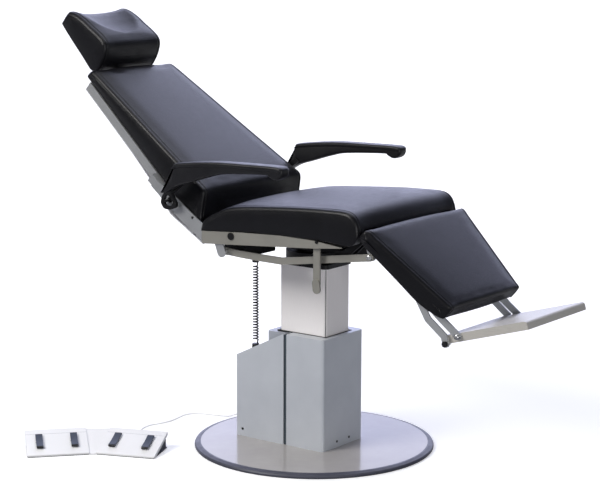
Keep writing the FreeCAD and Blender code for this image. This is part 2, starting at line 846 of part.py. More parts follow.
def foot_controls():
    half = S.pedal_unit_width / 2
    wall = S.pedal_wall
    low = S.pedal_base_height
    slot = S.pedal_width / 2 + S.pedal_slot_gap
    pin_x, pin_z = spot(0, -pin_drop, PEDAL)
    bases = []
    for side in UNITS:
        outer = wedge(0, low, half)
        inner = wedge(wall, low - S.overrun, half - wall)
        slots = [box(-S.pedal_setback - S.pedal_width, -S.pedal_setback + S.pedal_width,
                     offset * S.pedal_offset - slot, offset * S.pedal_offset + slot,
                     low + wall, S.pedal_unit_rear + S.overrun) for offset in (-1, 1)]
        cover = cut(outer, inner, *slots)
        if side == "right":
            hole = rod(S.inlet_radius, S.overrun * 2 + wall, unit_rear - wall - S.overrun,
                       -S.outlet_offset, S.outlet_z, "x")
            cover = cut(cover, hole)
        finish(on_unit(cover, side), f"foot_cover_{side}")
        tray = box(unit_front + wall, unit_rear - wall, wall - half, half - wall, 0, low)
        posts = []
        for offset in (-1, 1):
            middle = offset * S.pedal_offset
            stem = S.pedal_width / 2 - wall
            for edge in (-1, 1):
                y = sorted((middle + edge * (stem + S.slide_gap), middle + edge * (stem + S.slide_gap + wall)),
                           key=float)
                posts.append(box(pin_x - wall * 2, pin_x + wall * 2, y[0], y[1], 0, pin_z))
            posts.append(rod(wall, (stem + S.slide_gap + wall) * 2, pin_x, middle - stem - S.slide_gap - wall,
                             pin_z, "y"))
        bases.append(on_unit(fuse(tray, *posts), side))
        for number, offset in enumerate((-1, 1), 1):
            pedal(side, number, offset * S.pedal_offset)
    finish(group(*bases), "foot_control_bases")


PEDAL_SHARES = [(-1.0, 0.9), (-0.17, 0.2), (0.17, 0.2), (1.0, 0.9), (0.95, 1.6), (0.33, 2.0), (-0.33, 2.0),
                (-0.95, 1.6)]


def pedal(side, number, middle):
    """A rocker: a bowed pad on a stem that turns on the pin of its foot control."""
    reach = S.pedal_length / 2
    lift = S.pedal_thick
    stem = S.pedal_stem
    pad = plate([(a * reach, b * lift) for a, b in PEDAL_SHARES],
                middle - S.pedal_width / 2, middle + S.pedal_width / 2, PEDAL)
    neck = plate([(-stem, S.pedal_slot_gap), (-stem, -pin_drop - stem / 2), (stem, -pin_drop - stem / 2),
                  (stem, S.pedal_slot_gap)],
                 middle - S.pedal_width / 2 + S.pedal_wall, middle + S.pedal_width / 2 - S.pedal_wall, PEDAL)
    bore = pin(S.pedal_wall + S.run_gap, middle - S.pedal_width, middle + S.pedal_width, 0, -pin_drop, PEDAL)
    finish(on_unit(cut(fuse(pad, neck), bore), side), f"foot_pedal_{side}_{number}")


def unit_corner(side, depth, across):
    x, y, angle = UNITS[side]
    turn = math.radians(float(angle))
    along = FreeCAD.Vector(math.cos(turn), math.sin(turn), 0)
    side_way = FreeCAD.Vector(-math.sin(turn), math.cos(turn), 0)
    return FreeCAD.Vector(float(x), float(y), 0) + along * float(depth) + side_way * float(across)


def foot_joining_plate():
    """The fan-shaped wedge that joins the two foot controls."""
    half = S.pedal_unit_width / 2
    front = [unit_corner("left", unit_front, -half), unit_corner("right", unit_front, half)]
    rear = [unit_corner("right", unit_rear, half), unit_corner("left", unit_rear, -half)]
    foot = front + rear
    heights = [float(S.pedal_unit_front - S.join_drop)] * 2 + [float(S.pedal_unit_rear - S.join_drop)] * 2
    lip = float(S.soft_gap)
    inward = (foot[1] - foot[0]).normalize() * lip
    foot[0] += inward
    foot[3] += inward
    foot[1] -= inward
    foot[2] -= inward
    head = [corner + Z_AXIS * height for corner, height in zip(foot, heights)]
    faces = [Part.Face(Part.makePolygon(foot + foot[:1])), Part.Face(Part.makePolygon(head[:3] + head[:1])),
             Part.Face(Part.makePolygon([head[0], head[2], head[3], head[0]]))]
    for index in range(4):
        follow = (index + 1) % 4
        ring = [foot[index], foot[follow], head[follow], head[index], foot[index]]
        faces.append(Part.Face(Part.makePolygon(ring)))
    made("foot_joining_plate", Part.makeSolid(Part.makeShell(faces)))


# Route of the foot controls' cord over the floor, over the base's rim and into the rear cover
FOOT_CORD_ROUTE = [(-435.0, -320.9, 12), (-443.3, -300.2, 10.5), (-455, -272, 5), (-473, -238, 2), (-503, -196, 2),
                   (-512, -152, 2), (-496, -112, 2), (-489, -72, 2), (-497, -30, 2), (-503, 8, 2),
                   (-490, 42, 2), (-455, 54, 2), (-415, 62, 2), (-380, 72, 3), (-362, 74, 10),
                   (-342, 72, 19), (-318, 68, 20), (-292, 63, 19), (-268, 60, 21), (-247, 60, 25),
                   (-230, 60, 25)]
CUTBACK_SHARE = 0.45


def cord_path(points):
    """Straight runs joined by tangent arcs, each as large as its two runs allow."""
    points = [FreeCAD.Vector(*point) for point in points]
    edges = []
    radii = []
    here = points[0]
    for before, corner, after in zip(points, points[1:], points[2:]):
        arriving = (corner - before).normalize()
        leaving = (after - corner).normalize()
        half_turn = arriving.getAngle(leaving) / 2
        cutback = CUTBACK_SHARE * min((corner - before).Length, (after - corner).Length)
        start = corner - arriving * cutback
        end = corner + leaving * cutback
        radius = cutback / math.tan(half_turn)
        inward = (leaving - arriving).normalize()
        middle = corner + inward * (radius / math.cos(half_turn) - radius)
        edges.append(Part.LineSegment(here, start).toShape())
        edges.append(Part.Arc(start, middle, end).toShape())
        radii.append(radius)
        here = end
    edges.append(Part.LineSegment(here, points[-1]).toShape())
    return Part.Wire(edges), radii


def foot_cord():
    radius = float(S.foot_cord_radius)
    path, radii = cord_path(FOOT_CORD_ROUTE)
    first = FreeCAD.Vector(*FOOT_CORD_ROUTE[0])
    way = FreeCAD.Vector(*FOOT_CORD_ROUTE[1]) - first
    ring = Part.Wire(Part.Circle(first, way, radius).toShape())
    tube = path.makePipeShell([ring], True, False)
    made("foot_cord", tube)
    ideal = math.pi * radius * radius * path.Length
    print(f"foot cord: length {path.Length:.1f}, least radius {min(radii):.1f}, "
          f"volume over section times length {tube.Volume / ideal:.4f}")
    print("foot cord radii:", " ".join(f"{value:.0f}" for value in radii))
    inlet = taper(S.inlet_radius, S.inlet_tip_radius, S.inlet_length, S.rear_cover_back,
                  S.inlet_y, S.inlet_z, -90)
    stub = rod(S.inlet_radius, S.cover_wall, S.rear_cover_back, S.inlet_y, S.inlet_z, "x")
    outlet = taper(S.inlet_radius, S.inlet_tip_radius, S.inlet_length, unit_rear, -S.outlet_offset,
                   S.outlet_z, 90)
    neck = rod(S.inlet_radius, S.pedal_wall, unit_rear - S.pedal_wall, -S.outlet_offset, S.outlet_z, "x")
    finish(group(fuse(inlet, stub), on_unit(fuse(outlet, neck), "right")), "cord_strain_reliefs")


# Formed soft pieces and straps

def section(u, half, low, high, crown, roll, tuck):
    """One upright cut through a cushion: flat foot, drawn-in sides, rolled edges, crowned top."""
    def at(y, v):
        return FreeCAD.Vector(u, y, v)

    lean = roll * (1 - math.sqrt(0.5))
    corners = [at(tuck - half, low), at(half - tuck, low), at(half, high - roll), at(half - roll, high),
               at(roll - half, high), at(-half, high - roll)]
    edges = [Part.LineSegment(corners[0], corners[1]), Part.LineSegment(corners[1], corners[2]),
             Part.Arc(corners[2], at(half - lean, high - lean), corners[3]),
             Part.Arc(corners[3], at(0, high + crown), corners[4]),
             Part.Arc(corners[4], at(lean - half, high - lean), corners[5]),
             Part.LineSegment(corners[5], corners[0])]
    return Part.Wire([edge.toShape() for edge in edges])


ROLL_SHARE = 0.4
TUCK_SHARE = 0.3


def cushion(table, length, depth, start, foot, half_start, half_end, crown, mirror=1, crown_share=None):
    """A soft solid lofted through upright cuts; table holds (length, foot and top) shares."""
    rings = []
    for index, (along, low, high) in enumerate(table):
        rise = float(depth)
        thick = (high - low) * rise
        roll = min(float(S.edge_roll), thick * ROLL_SHARE)
        bulge = float(crown) * min(1, thick / (rise * ROLL_SHARE)) * (crown_share[index] if crown_share else 1)
        half = float(half_start) + (float(half_end) - float(half_start)) * along
        half -= float(S.edge_roll) * max(0, 1 - thick / (rise * ROLL_SHARE))
        rings.append(section(mirror * (float(start) + along * float(length)), half,
                             float(foot) + low * rise, float(foot) + high * rise, bulge, roll,
                             min(float(S.seat_tuck), thick * TUCK_SHARE)))
    return Part.makeLoft(rings, True, False)


def strap_shape(points, width, y0, y1):
    """A flat bar along a line of points, with round ends, as thick as y1 - y0."""
    points = [(float(x), float(z)) for x, z in points]
    half = float(width) / 2
    low, high = sorted((float(y0), float(y1)))
    thick = FreeCAD.Vector(0, high - low, 0)
    pieces = [Part.makeCylinder(half, high - low, FreeCAD.Vector(x, low, z), Y_AXIS) for x, z in points]
    for (x0, z0), (x1, z1) in zip(points, points[1:]):
        length = math.hypot(x1 - x0, z1 - z0)
        side_x = -(z1 - z0) / length * half
        side_z = (x1 - x0) / length * half
        ring = [(x0 + side_x, z0 + side_z), (x1 + side_x, z1 + side_z),
                (x1 - side_x, z1 - side_z), (x0 - side_x, z0 - side_z)]
        ring = [FreeCAD.Vector(x, low, z) for x, z in ring + ring[:1]]
        pieces.append(Part.Face(Part.makePolygon(ring)).extrude(thick))
    return pieces[0].multiFuse(pieces[1:]).removeSplitter()


def strap(points, width, y0, y1, frame=None):
    item = doc.addObject("Part::Feature", "Strap")
    item.Shape = strap_shape(points, width, y0, y1)
    if frame:
        place(item, frame[0], 0, frame[1], frame[2])
    return item


def span(side, inner, outer):
    """The lower and upper y of something between two distances from the middle."""
    return (inner, outer) if side > 0 else (-outer, -inner)


# The seat

beam_y = S.frame_beam_spread
link_x = S.leg_pivot_x + S.foot_link_x
link_z = S.leg_pivot_z + S.foot_link_z
ear_inner = S.link_bar_inner - S.lever_gap * 2 - S.lever_plate_thick * 2 - S.lever_gap
lever_inner = ear_inner + S.lever_plate_thick + S.lever_gap
arm_in = S.foot_half + S.lever_gap
foot_link_in = arm_in + S.foot_link_thick + S.lever_gap


def swivel_and_frame():
    """The swivel disc on the column head, and the welded frame that carries seat, back and legs."""
    disc = rod(S.disc_radius, S.disc_thick, z=swivel_z)
    neck = rod(S.disc_neck_radius, frame_low - swivel_z, z=swivel_z)
    finish(fuse(disc, neck), "swivel_disc")
    pieces = [box(-S.disc_radius, S.disc_radius, -beam_y, beam_y, frame_low, S.frame_beam_low)]
    for side in (1, -1):
        y0, y1 = span(side, beam_y - S.frame_beam_width / 2, beam_y + S.frame_beam_width / 2)
        pieces.append(box(S.frame_rear, S.frame_front, y0, y1, S.frame_beam_low, S.frame_beam_top))
        block = box(S.back_pivot_x - S.boss_radius, S.back_pivot_x + S.boss_radius, y0, y1,
                    S.frame_beam_top, S.back_pivot_z)
        pieces.append(block)
        y0, y1 = span(side, ear_inner, ear_inner + S.lever_plate_thick)
        knee = (S.frame_front - S.frame_cross_width / 2, frame_middle)
        bend = (S.frame_front, S.frame_beam_top)
        pieces.append(strap([knee, bend, (S.leg_pivot_x, S.leg_pivot_z)], S.leg_boss_radius * 2, y0, y1))
        y0, y1 = span(side, bracket_inner, bracket_inner + S.lever_plate_thick)
        pieces.append(strap([knee, bend, (link_x, link_z)], S.foot_link_width, y0, y1))
        y0, y1 = span(side, foot_link_in, bracket_inner)
        pieces.append(pin(S.link_pin_radius, y0, y1, link_x, link_z))
    reach = ear_inner + S.lever_plate_thick
    pieces.append(box(S.frame_front - S.frame_cross_width, S.frame_front, -reach, reach,
                      S.frame_beam_low, S.frame_beam_top))
    rail_in = S.seat_half - S.rail_thick
    pieces.append(box(S.frame_rear, S.frame_rear + S.frame_cross_width, -S.frame_cross_half, S.frame_cross_half,
                      S.frame_beam_low, S.frame_beam_top))
    low = S.frame_beam_top - S.rail_arm_thick
    step = arm_in - S.overrun + S.slide_gap
    for x in (S.rail_cap_rear, S.rail_arm_front):
        x0 = x - S.rail_arm_width / 2
        x1 = x + S.rail_arm_width / 2
        if x is S.rail_cap_rear:
            pieces.append(box(x0, x1, -rail_in, rail_in, low, S.frame_beam_top))
            continue
        pieces.append(box(x0, x1, -step - S.rail_arm_thick, step + S.rail_arm_thick, low, S.frame_beam_top))
        for side in (1, -1):
            y0, y1 = span(side, step, step + S.rail_arm_thick)
            pieces.append(box(x0, x1, y0, y1, low, S.frame_beam_top + S.rail_arm_thick))
            y0, y1 = span(side, step, rail_in)
            pieces.append(box(x0, x1, y0, y1, S.frame_beam_top, S.frame_beam_top + S.rail_arm_thick))
    body = fuse(*pieces)
    bores = [pin(S.shaft_radius + S.run_gap, -S.seat_half, S.seat_half, S.back_pivot_x, S.back_pivot_z),
             pin(S.leg_shaft_radius + S.run_gap, -S.seat_half, S.seat_half, S.leg_pivot_x, S.leg_pivot_z)]
    finish(cut(body, *bores), "seat_frame")


frame_low = S.frame_beam_low - S.lever_plate_thick
frame_middle = (S.frame_beam_low + S.frame_beam_top) / 2
bracket_inner = foot_link_in + S.foot_link_thick + S.lever_gap


def seat_rails():
    """The painted side rails with their round caps."""
    outline = [(S.rail_rear, S.rail_rear_low), (S.rail_mid, S.rail_mid_low), (S.rail_front, S.rail_front_low),
               (S.rail_front, S.rail_front_top), (S.rail_mid, S.rail_mid_top),
               (S.rail_crest, S.rail_crest_top), (S.rail_waist, S.rail_waist_top),
               (S.rail_rear, S.rail_rear_top)]
    caps = []
    for side, name in ((1, "far"), (-1, "near")):
        y0, y1 = span(side, S.seat_half - S.rail_thick, S.seat_half)
        rail = plate(outline, y0, y1, rounds=[(S.rail_thick, [0])])
        if side < 0:
            bore = pin(S.lever_spindle_radius + S.run_gap, y0 - S.overrun, y1 + S.overrun, S.lever_x, S.lever_z)
            rail = cut(rail, bore)
        finish(rail, f"seat_rail_{name}")
        y0, y1 = span(side, S.seat_half, S.seat_half + S.rail_cap_thick)
        caps.append(pin(S.rail_cap_radius, y0, y1, S.rail_cap_rear, S.rail_cap_rear_z))
        caps.append(pin(S.rail_stud_radius, y0, y1, S.rail_stud_x, S.rail_stud_z))
    finish(group(*caps), "rail_caps")


SEAT_SHARES = [(0.0, 0.0, 0.14), (0.011, 0.0, 0.27), (0.039, 0.005, 0.385), (0.094, 0.02, 0.54),
               (0.2, 0.07, 0.75), (0.397, 0.135, 0.87), (0.645, 0.155, 0.965), (0.835, 0.135, 1.0),
               (0.93, 0.095, 0.985), (0.972, 0.155, 0.87), (0.993, 0.3, 0.68), (1.0, 0.42, 0.54)]


def seat_cushion():
    """The seat pan and the cushion on it, with recesses for the hinges of back and legrest."""
    length = S.seat_nose - S.seat_rear
    shape = cushion(SEAT_SHARES, length, S.seat_top - S.seat_foot, S.seat_rear, S.seat_foot,
                    S.seat_half, S.seat_half, S.seat_crown)
    pad = doc.addObject("Part::Feature", "Pad")
    pad.Shape = shape
    tools = [pin(S.shaft_radius + S.slide_gap, -S.seat_half + S.rail_thick, S.seat_half - S.rail_thick,
                 S.back_pivot_x, S.back_pivot_z),
             pin(S.leg_shaft_radius + S.slide_gap * 2, -S.link_bar_inner, S.link_bar_inner,
                 S.leg_pivot_x, S.leg_pivot_z)]
    for side in (1, -1):
        y0, y1 = span(side, arm_in - S.lever_gap, S.link_bar_inner)
        tools.append(box(S.frame_front - S.hinge_recess / 2, S.seat_nose + S.overrun, y0, y1,
                         S.seat_foot - S.overrun, S.leg_pivot_z + S.hinge_recess))
        y0, y1 = span(side, S.side_plate_inner - S.lever_gap, S.side_plate_inner + S.side_plate_thick + S.lever_gap)
        tools.append(box(S.seat_rear - S.overrun, S.back_pivot_x + S.hinge_recess, y0, y1,
                         S.seat_foot - S.overrun, S.seat_top + S.overrun))
    finish(cut(pad, *tools), "seat_cushion")
    pan = [(S.board_rear, S.frame_beam_top), (S.frame_front, S.frame_beam_top),
           (S.frame_front, S.rail_front_top), (S.rail_mid, S.rail_mid_top),
           (S.rail_crest, S.rail_crest_top - S.soft_gap * 2), (S.rail_waist, S.rail_waist_top - S.soft_gap * 2),
           (S.board_rear, S.board_rear_top)]
    half = arm_in - S.overrun
    finish(plate(pan, -half, half), "seat_pan")


def recline_motor():
    """The gearmotor that drives the recline shaft, hung under the frame's rear cross member."""
    x0 = S.frame_rear + S.motor_case_inset
    case = box(x0, x0 + S.motor_case_length, -S.motor_case_outer, -S.motor_case_inner,
               S.frame_beam_low - S.motor_case_height, S.frame_beam_low)
    finish(case, "recline_gearmotor")


# The backrest, drawn along its own slope: u runs up the back, v stands out of its front

def back_points(table, length, depth):
    """Outline corners given as (u, v) shares of a length and a depth, in the back's own axes."""
    return [(-(u * length), v * depth) for u, v in table]


SIDE_PLATE_SHARES = [(-0.055, -0.14), (0, 0.2), (0.12, -0.03), (0.21, -0.26), (0.667, -0.43),
                     (1, -0.614), (1, -1), (0.47, -0.97), (0.08, -0.8), (-0.03, -0.43)]


def back_spot(x, z):
    """The back's own (x, v) of a point of the chair."""
    dx = float(x) - float(S.back_pivot_x)
    dz = float(z) - float(S.back_pivot_z)
    turn = math.radians(float(S.back_angle))
    return dx * math.cos(turn) - dz * math.sin(turn), dx * math.sin(turn) + dz * math.cos(turn)


def back_structure():
    """Side plates with the linkage pins, the recline shaft, the rails, and the rear shell."""
    link_spot = back_spot(S.back_pivot_x + S.link_reach_x, S.back_pivot_z + S.link_reach_z)
    arm_spot = back_spot(S.arm_pivot_x, S.arm_pivot_z)
    brackets = []
    for side, name in ((1, "far"), (-1, "near")):
        y0, y1 = span(side, S.side_plate_inner, plate_outer)
        outline = back_points(SIDE_PLATE_SHARES, S.side_plate_length, -S.back_rail_low)
        pieces = [plate(outline, y0, y1, BACK), strap([(0, 0), link_spot], S.link_lug_width, y0, y1, BACK)]
        y0, y1 = span(side, S.link_bar_inner - S.overrun / 2, S.side_plate_inner)
        pieces.append(place_pin(S.link_pin_radius, y0, y1, link_spot))
        finish(fuse(*pieces), f"back_side_plate_{name}")
        y0, y1 = span(side, plate_outer, S.arm_inner - S.arm_bracket_thick - S.lever_gap)
        boss = strap([arm_spot], S.arm_bracket_width, y0, y1, BACK)
        y0, y1 = span(side, plate_outer, S.arm_inner)
        brackets.append(fuse(boss, place_pin(S.arm_pin_radius, y0, y1, arm_spot)))
    finish(pin(S.shaft_radius, -S.side_plate_inner, S.side_plate_inner, 0, 0, BACK), "recline_shaft")
    finish(group(*brackets), "armrest_brackets")


plate_outer = S.side_plate_inner + S.side_plate_thick


def place_pin(radius, y0, y1, where):
    """A pin at a point of the back."""
    item = doc.addObject("Part::Feature", "Pin")
    low, high = float(y0), float(y1)
    spot_at = FreeCAD.Vector(where[0], low, where[1])
    item.Shape = Part.makeCylinder(float(radius), high - low, spot_at, Y_AXIS)
    return place(item, BACK[0], 0, BACK[1], BACK[2])


def tapered_bar(u0, half0, u1, half1, v0, v1, thick, side):
    """A straight bar that leans inward up the back, between two distances from its middle."""
    rings = []
    for u, half in ((u0, half0), (u1, half1)):
        inner = side * (float(half) - float(thick))
        outer = side * float(half)
        corners = [(inner, v0), (outer, v0), (outer, v1), (inner, v1), (inner, v0)]
        rings.append(Part.makePolygon([FreeCAD.Vector(-float(u), y, float(v)) for y, v in corners]))
    return Part.makeLoft(rings, True, True)


def back_half(u):
    """Half width of the back at a height along it."""
    share = (float(u) - float(S.back_cushion_start)) / float(S.back_cushion_end - S.back_cushion_start)
    return float(S.back_low_half) + (float(S.back_top_half) - float(S.back_low_half)) * share


def back_frame():
    start, end = float(S.back_rail_start), float(S.back_rail_end)
    low, top = S.back_rail_low, S.back_rail_top - S.soft_gap
    thick = S.back_rail_thick
    pieces = [tapered_bar(S.back_cushion_start, back_half(S.back_cushion_start), end, back_half(end),
                          low, top, thick, side) for side in (1, -1)]
    tall = float(S.head_bar_thick) / 2 + float(S.run_gap)
    cross_high = float(S.head_pivot_v) + tall
    width = float(S.frame_cross_width)
    guide = float(S.head_bar_width) / 2 + float(S.run_gap)
    cheek = guide + float(S.boss_radius)
    for u in (start, end - width, float(S.head_bar_low) - width / 2):
        half = back_half(u + width) - float(thick)
        corner = FreeCAD.Vector(-u - width, -half, cross_high)
        pieces.append(Part.makeBox(width, 2 * half, float(top) - cross_high, corner))
        if u > start:
            corner = FreeCAD.Vector(-u - width, -cheek, float(low))
            pieces.append(Part.makeBox(width, 2 * cheek, float(top - low), corner))
    frame = pieces[0].multiFuse(pieces[1:])
    reach = float(S.side_plate_inner) - back_half(start) + float(thick)
    for edge in (float(S.side_plate_inner) - reach, -float(S.side_plate_inner)):
        corner = FreeCAD.Vector(-start - width, edge, float(low))
        frame = frame.fuse(Part.makeBox(width * 2, reach, float(top - low), corner))
    slot = Part.makeBox(end - start, 2 * guide, 2 * tall,
                        FreeCAD.Vector(-end - float(S.overrun), -guide, float(S.head_pivot_v) - tall))
    made("back_frame", frame.cut(slot).removeSplitter(), BACK)


SHELL_SHARES = [(0.02, 0.685), (0.245, 1.0), (0.4, 0.86), (0.6, 0.79), (1.0, 0.77)]


def back_shell():
    """The pale rear shell: a bellied sheet behind the frame, narrower towards the head."""
    depth = -float(S.back_shell_low)
    length = float(S.back_rail_end)
    thick = float(S.back_shell_thick)
    outer = [(-u * length, -v * depth) for u, v in SHELL_SHARES]
    inner = [(x, z + thick) for x, z in reversed(outer)]
    ring = [FreeCAD.Vector(x, -float(S.side_plate_inner), z) for x, z in outer + inner + outer[:1]]
    sheet_solid = Part.Face(Part.makePolygon(ring)).extrude(FreeCAD.Vector(0, 2 * float(S.side_plate_inner), 0))
    margin = float(S.lever_gap)
    plan = [(0.0, back_half(0) - margin), (length, back_half(length) - margin)]
    corners = [(plan[0][0], -plan[0][1]), (plan[1][0], -plan[1][1]), (plan[1][0], plan[1][1]),
               (plan[0][0], plan[0][1])]
    ring = [FreeCAD.Vector(-u, min(max(y, -limit), limit), -2 * depth) for u, y in corners + corners[:1]
            for limit in [float(S.side_plate_inner) - margin]]
    plan_solid = Part.Face(Part.makePolygon(ring)).extrude(Z_AXIS * (4 * depth))
    made("back_shell", sheet_solid.common(plan_solid), BACK)


BACK_SHARES = [(0.0, 0.0, 0.05), (0.01, 0.0, 0.25), (0.027, 0.0, 0.4), (0.05, 0.0, 0.66), (0.072, 0.0, 0.9),
               (0.095, 0.0, 1.01), (0.15, 0.0, 0.97), (0.3, 0.0, 0.86), (0.39, 0.0, 0.79), (0.51, 0.0, 0.7),
               (0.685, 0.0, 0.575), (0.855, 0.0, 0.45), (0.95, 0.0, 0.375), (0.985, 0.0, 0.32), (1.0, 0.0, 0.2)]


def back_cushion():
    start = S.back_cushion_start
    shape = cushion(BACK_SHARES, S.back_cushion_end - start,
                    S.back_front - S.back_rail_top, start, S.back_rail_top + S.soft_gap,
                    S.back_low_half, S.back_top_half, S.back_crown, mirror=-1)
    made("back_cushion", shape, BACK)


HEAD_SHARES = [(0.0, 0.16, 0.36), (0.02, 0.09, 0.6), (0.07, 0.03, 0.85), (0.13, 0.0, 0.99), (0.2, 0.02, 1.045),
               (0.29, 0.05, 1.05), (0.4, 0.085, 1.03), (0.53, 0.12, 0.995), (0.69, 0.165, 0.965), (0.86, 0.22, 0.89),
               (0.96, 0.26, 0.8), (1.0, 0.32, 0.7)]
HEAD_CROWN_SHARES = [0.1, 0.1, 0.1, 0.1, -0.1, -0.5, -0.8, -1.3, -1.5, -1.3, -1.0, -0.5]


def headrest():
    """Slide bar in the back, tilting plate on its pin, and the hollowed headrest cushion."""
    bar = float(S.head_bar_width) / 2
    low, high = float(S.head_bar_low), float(S.head_bar_top)
    thick = float(S.head_bar_thick)
    v = float(S.head_pivot_v)
    blade = Part.makeBox(high - low, 2 * bar, thick, FreeCAD.Vector(-high, -bar, v - thick / 2))
    hub = float(S.head_hub_radius)
    centre = FreeCAD.Vector(-float(S.head_pivot_u), -bar, v)
    wall = float(S.head_plate_thick)
    ear_in = bar + float(S.slide_gap)
    tail = ear_in + wall + float(S.slide_gap) - bar
    head_pin = Part.makeCylinder(float(S.head_pin_radius), 2 * (bar + tail), centre - Y_AXIS * tail, Y_AXIS)
    collar = Part.makeCylinder(hub, 2 * bar, centre, Y_AXIS)
    made("headrest_bar", blade.fuse([collar, head_pin]).removeSplitter(), BACK)
    pieces = []
    top = float(S.head_foot - S.soft_gap)
    for y0 in (ear_in, -ear_in - wall):
        pieces.append(Part.makeCylinder(hub, wall, FreeCAD.Vector(centre.x, y0, v), Y_AXIS))
        pieces.append(Part.makeBox(2 * hub, wall, top - v, FreeCAD.Vector(centre.x - hub, y0, v)))
    half = float(S.head_plate_half)
    slab = Part.makeBox(float(S.head_plate_length), 2 * half, wall,
                        FreeCAD.Vector(centre.x - float(S.head_plate_length), -half, top))
    reach = float(S.cut_reach)
    bore = Part.makeCylinder(float(S.head_pin_radius + S.run_gap), 2 * reach,
                             FreeCAD.Vector(centre.x, -reach, v), Y_AXIS)
    shape = slab.multiFuse(pieces).cut(bore)
    pad = cushion(HEAD_SHARES, S.head_length, S.head_depth, S.head_start, S.head_low,
                  S.head_half, S.head_half, S.head_hollow, mirror=-1, crown_share=HEAD_CROWN_SHARES)
    made("headrest_plate", shape.removeSplitter(), BACK)
    made("headrest_cushion", pad.cut(shape), BACK)


ARM_SHARES = [(0.0, 0.01), (0.042, 0.244), (0.078, 0.481), (0.111, 0.739), (0.15, 0.825), (0.44, 0.95),
              (0.777, 0.99), (0.96, 1.0), (1.0, 0.975), (1.015, 0.9), (1.007, 0.76), (0.975, 0.67), (0.94, 0.665),
              (0.905, 0.73), (0.87, 0.765), (0.55, 0.672), (0.395, 0.534), (0.238, 0.34), (0.126, 0.2), (0.03, 0.0)]

ARM_GRIP_SHARES = (0.12, 0.3)


def armrests():
    """Moulded armrests, each on a flat hanger that turns on the back's bracket pin."""
    for side, name in ((1, "far"), (-1, "near")):
        y0, y1 = span(side, S.arm_inner, S.arm_outer)
        outline = [(S.arm_rear + x * S.arm_length, S.arm_low + z * S.arm_depth) for x, z in ARM_SHARES]
        body = plate(outline, y0, y1, rounds=[(S.arm_back_round, [3, 4])])
        y0, y1 = span(side, S.arm_inner - S.arm_bracket_thick, S.arm_inner)
        grip = (S.arm_rear + ARM_GRIP_SHARES[0] * S.arm_length, S.arm_low + ARM_GRIP_SHARES[1] * S.arm_depth)
        hanger = strap([(S.arm_pivot_x, S.arm_pivot_z), grip], S.hanger_width, y0, y1)
        bore = pin(S.arm_pin_radius + S.run_gap, y0 - S.cut_reach, y1 + S.cut_reach, S.arm_pivot_x, S.arm_pivot_z)
        finish(cut(hanger, bore), f"armrest_hanger_{name}")
        finish(body, f"armrest_{name}")


# The linkage between back and legrest, the legrest, and the footplate on its parallel links

BAR_SHARES = [(0.0, 0.0), (0.091, 0.3), (0.246, 0.7), (0.394, 1.0), (0.519, 0.81), (0.86, 0.21), (1.0, 0.0)]


def link_bars():
    x0 = S.back_pivot_x + S.link_reach_x
    z0 = S.back_pivot_z + S.link_reach_z
    x1 = S.leg_pivot_x + S.link_reach_x
    z1 = S.leg_pivot_z + S.link_reach_z
    points = [(x0 + s * (x1 - x0), z0 + s * (z1 - z0) - drop * S.link_bar_sag) for s, drop in BAR_SHARES]
    for side, name in ((1, "far"), (-1, "near")):
        y0, y1 = span(side, S.link_bar_inner, S.link_bar_inner + S.link_bar_thick)
        bar = strap(points, S.link_bar_height, y0, y1)
        rear = pin(S.link_pin_radius + S.run_gap, y0 - S.overrun, y1 + S.overrun, x0, z0)
        front = pin(S.link_pin_radius + S.slide_gap * 2, y0 - S.overrun, y1 + S.overrun, x1, z1)
        finish(cut(bar, rear, front), f"link_bar_{name}")


LEG_SHARES = [(0.0, 0.5, 0.74), (0.01, 0.42, 0.92), (0.042, 0.35, 1.0), (0.11, 0.25, 1.0), (0.26, 0.2, 1.0),
              (0.5, 0.1, 1.0), (0.745, 0.0, 1.0), (0.92, 0.12, 1.0), (0.985, 0.24, 1.0), (1.0, 0.34, 0.86)]

CROSS_SHARES = (0.25, 0.8)


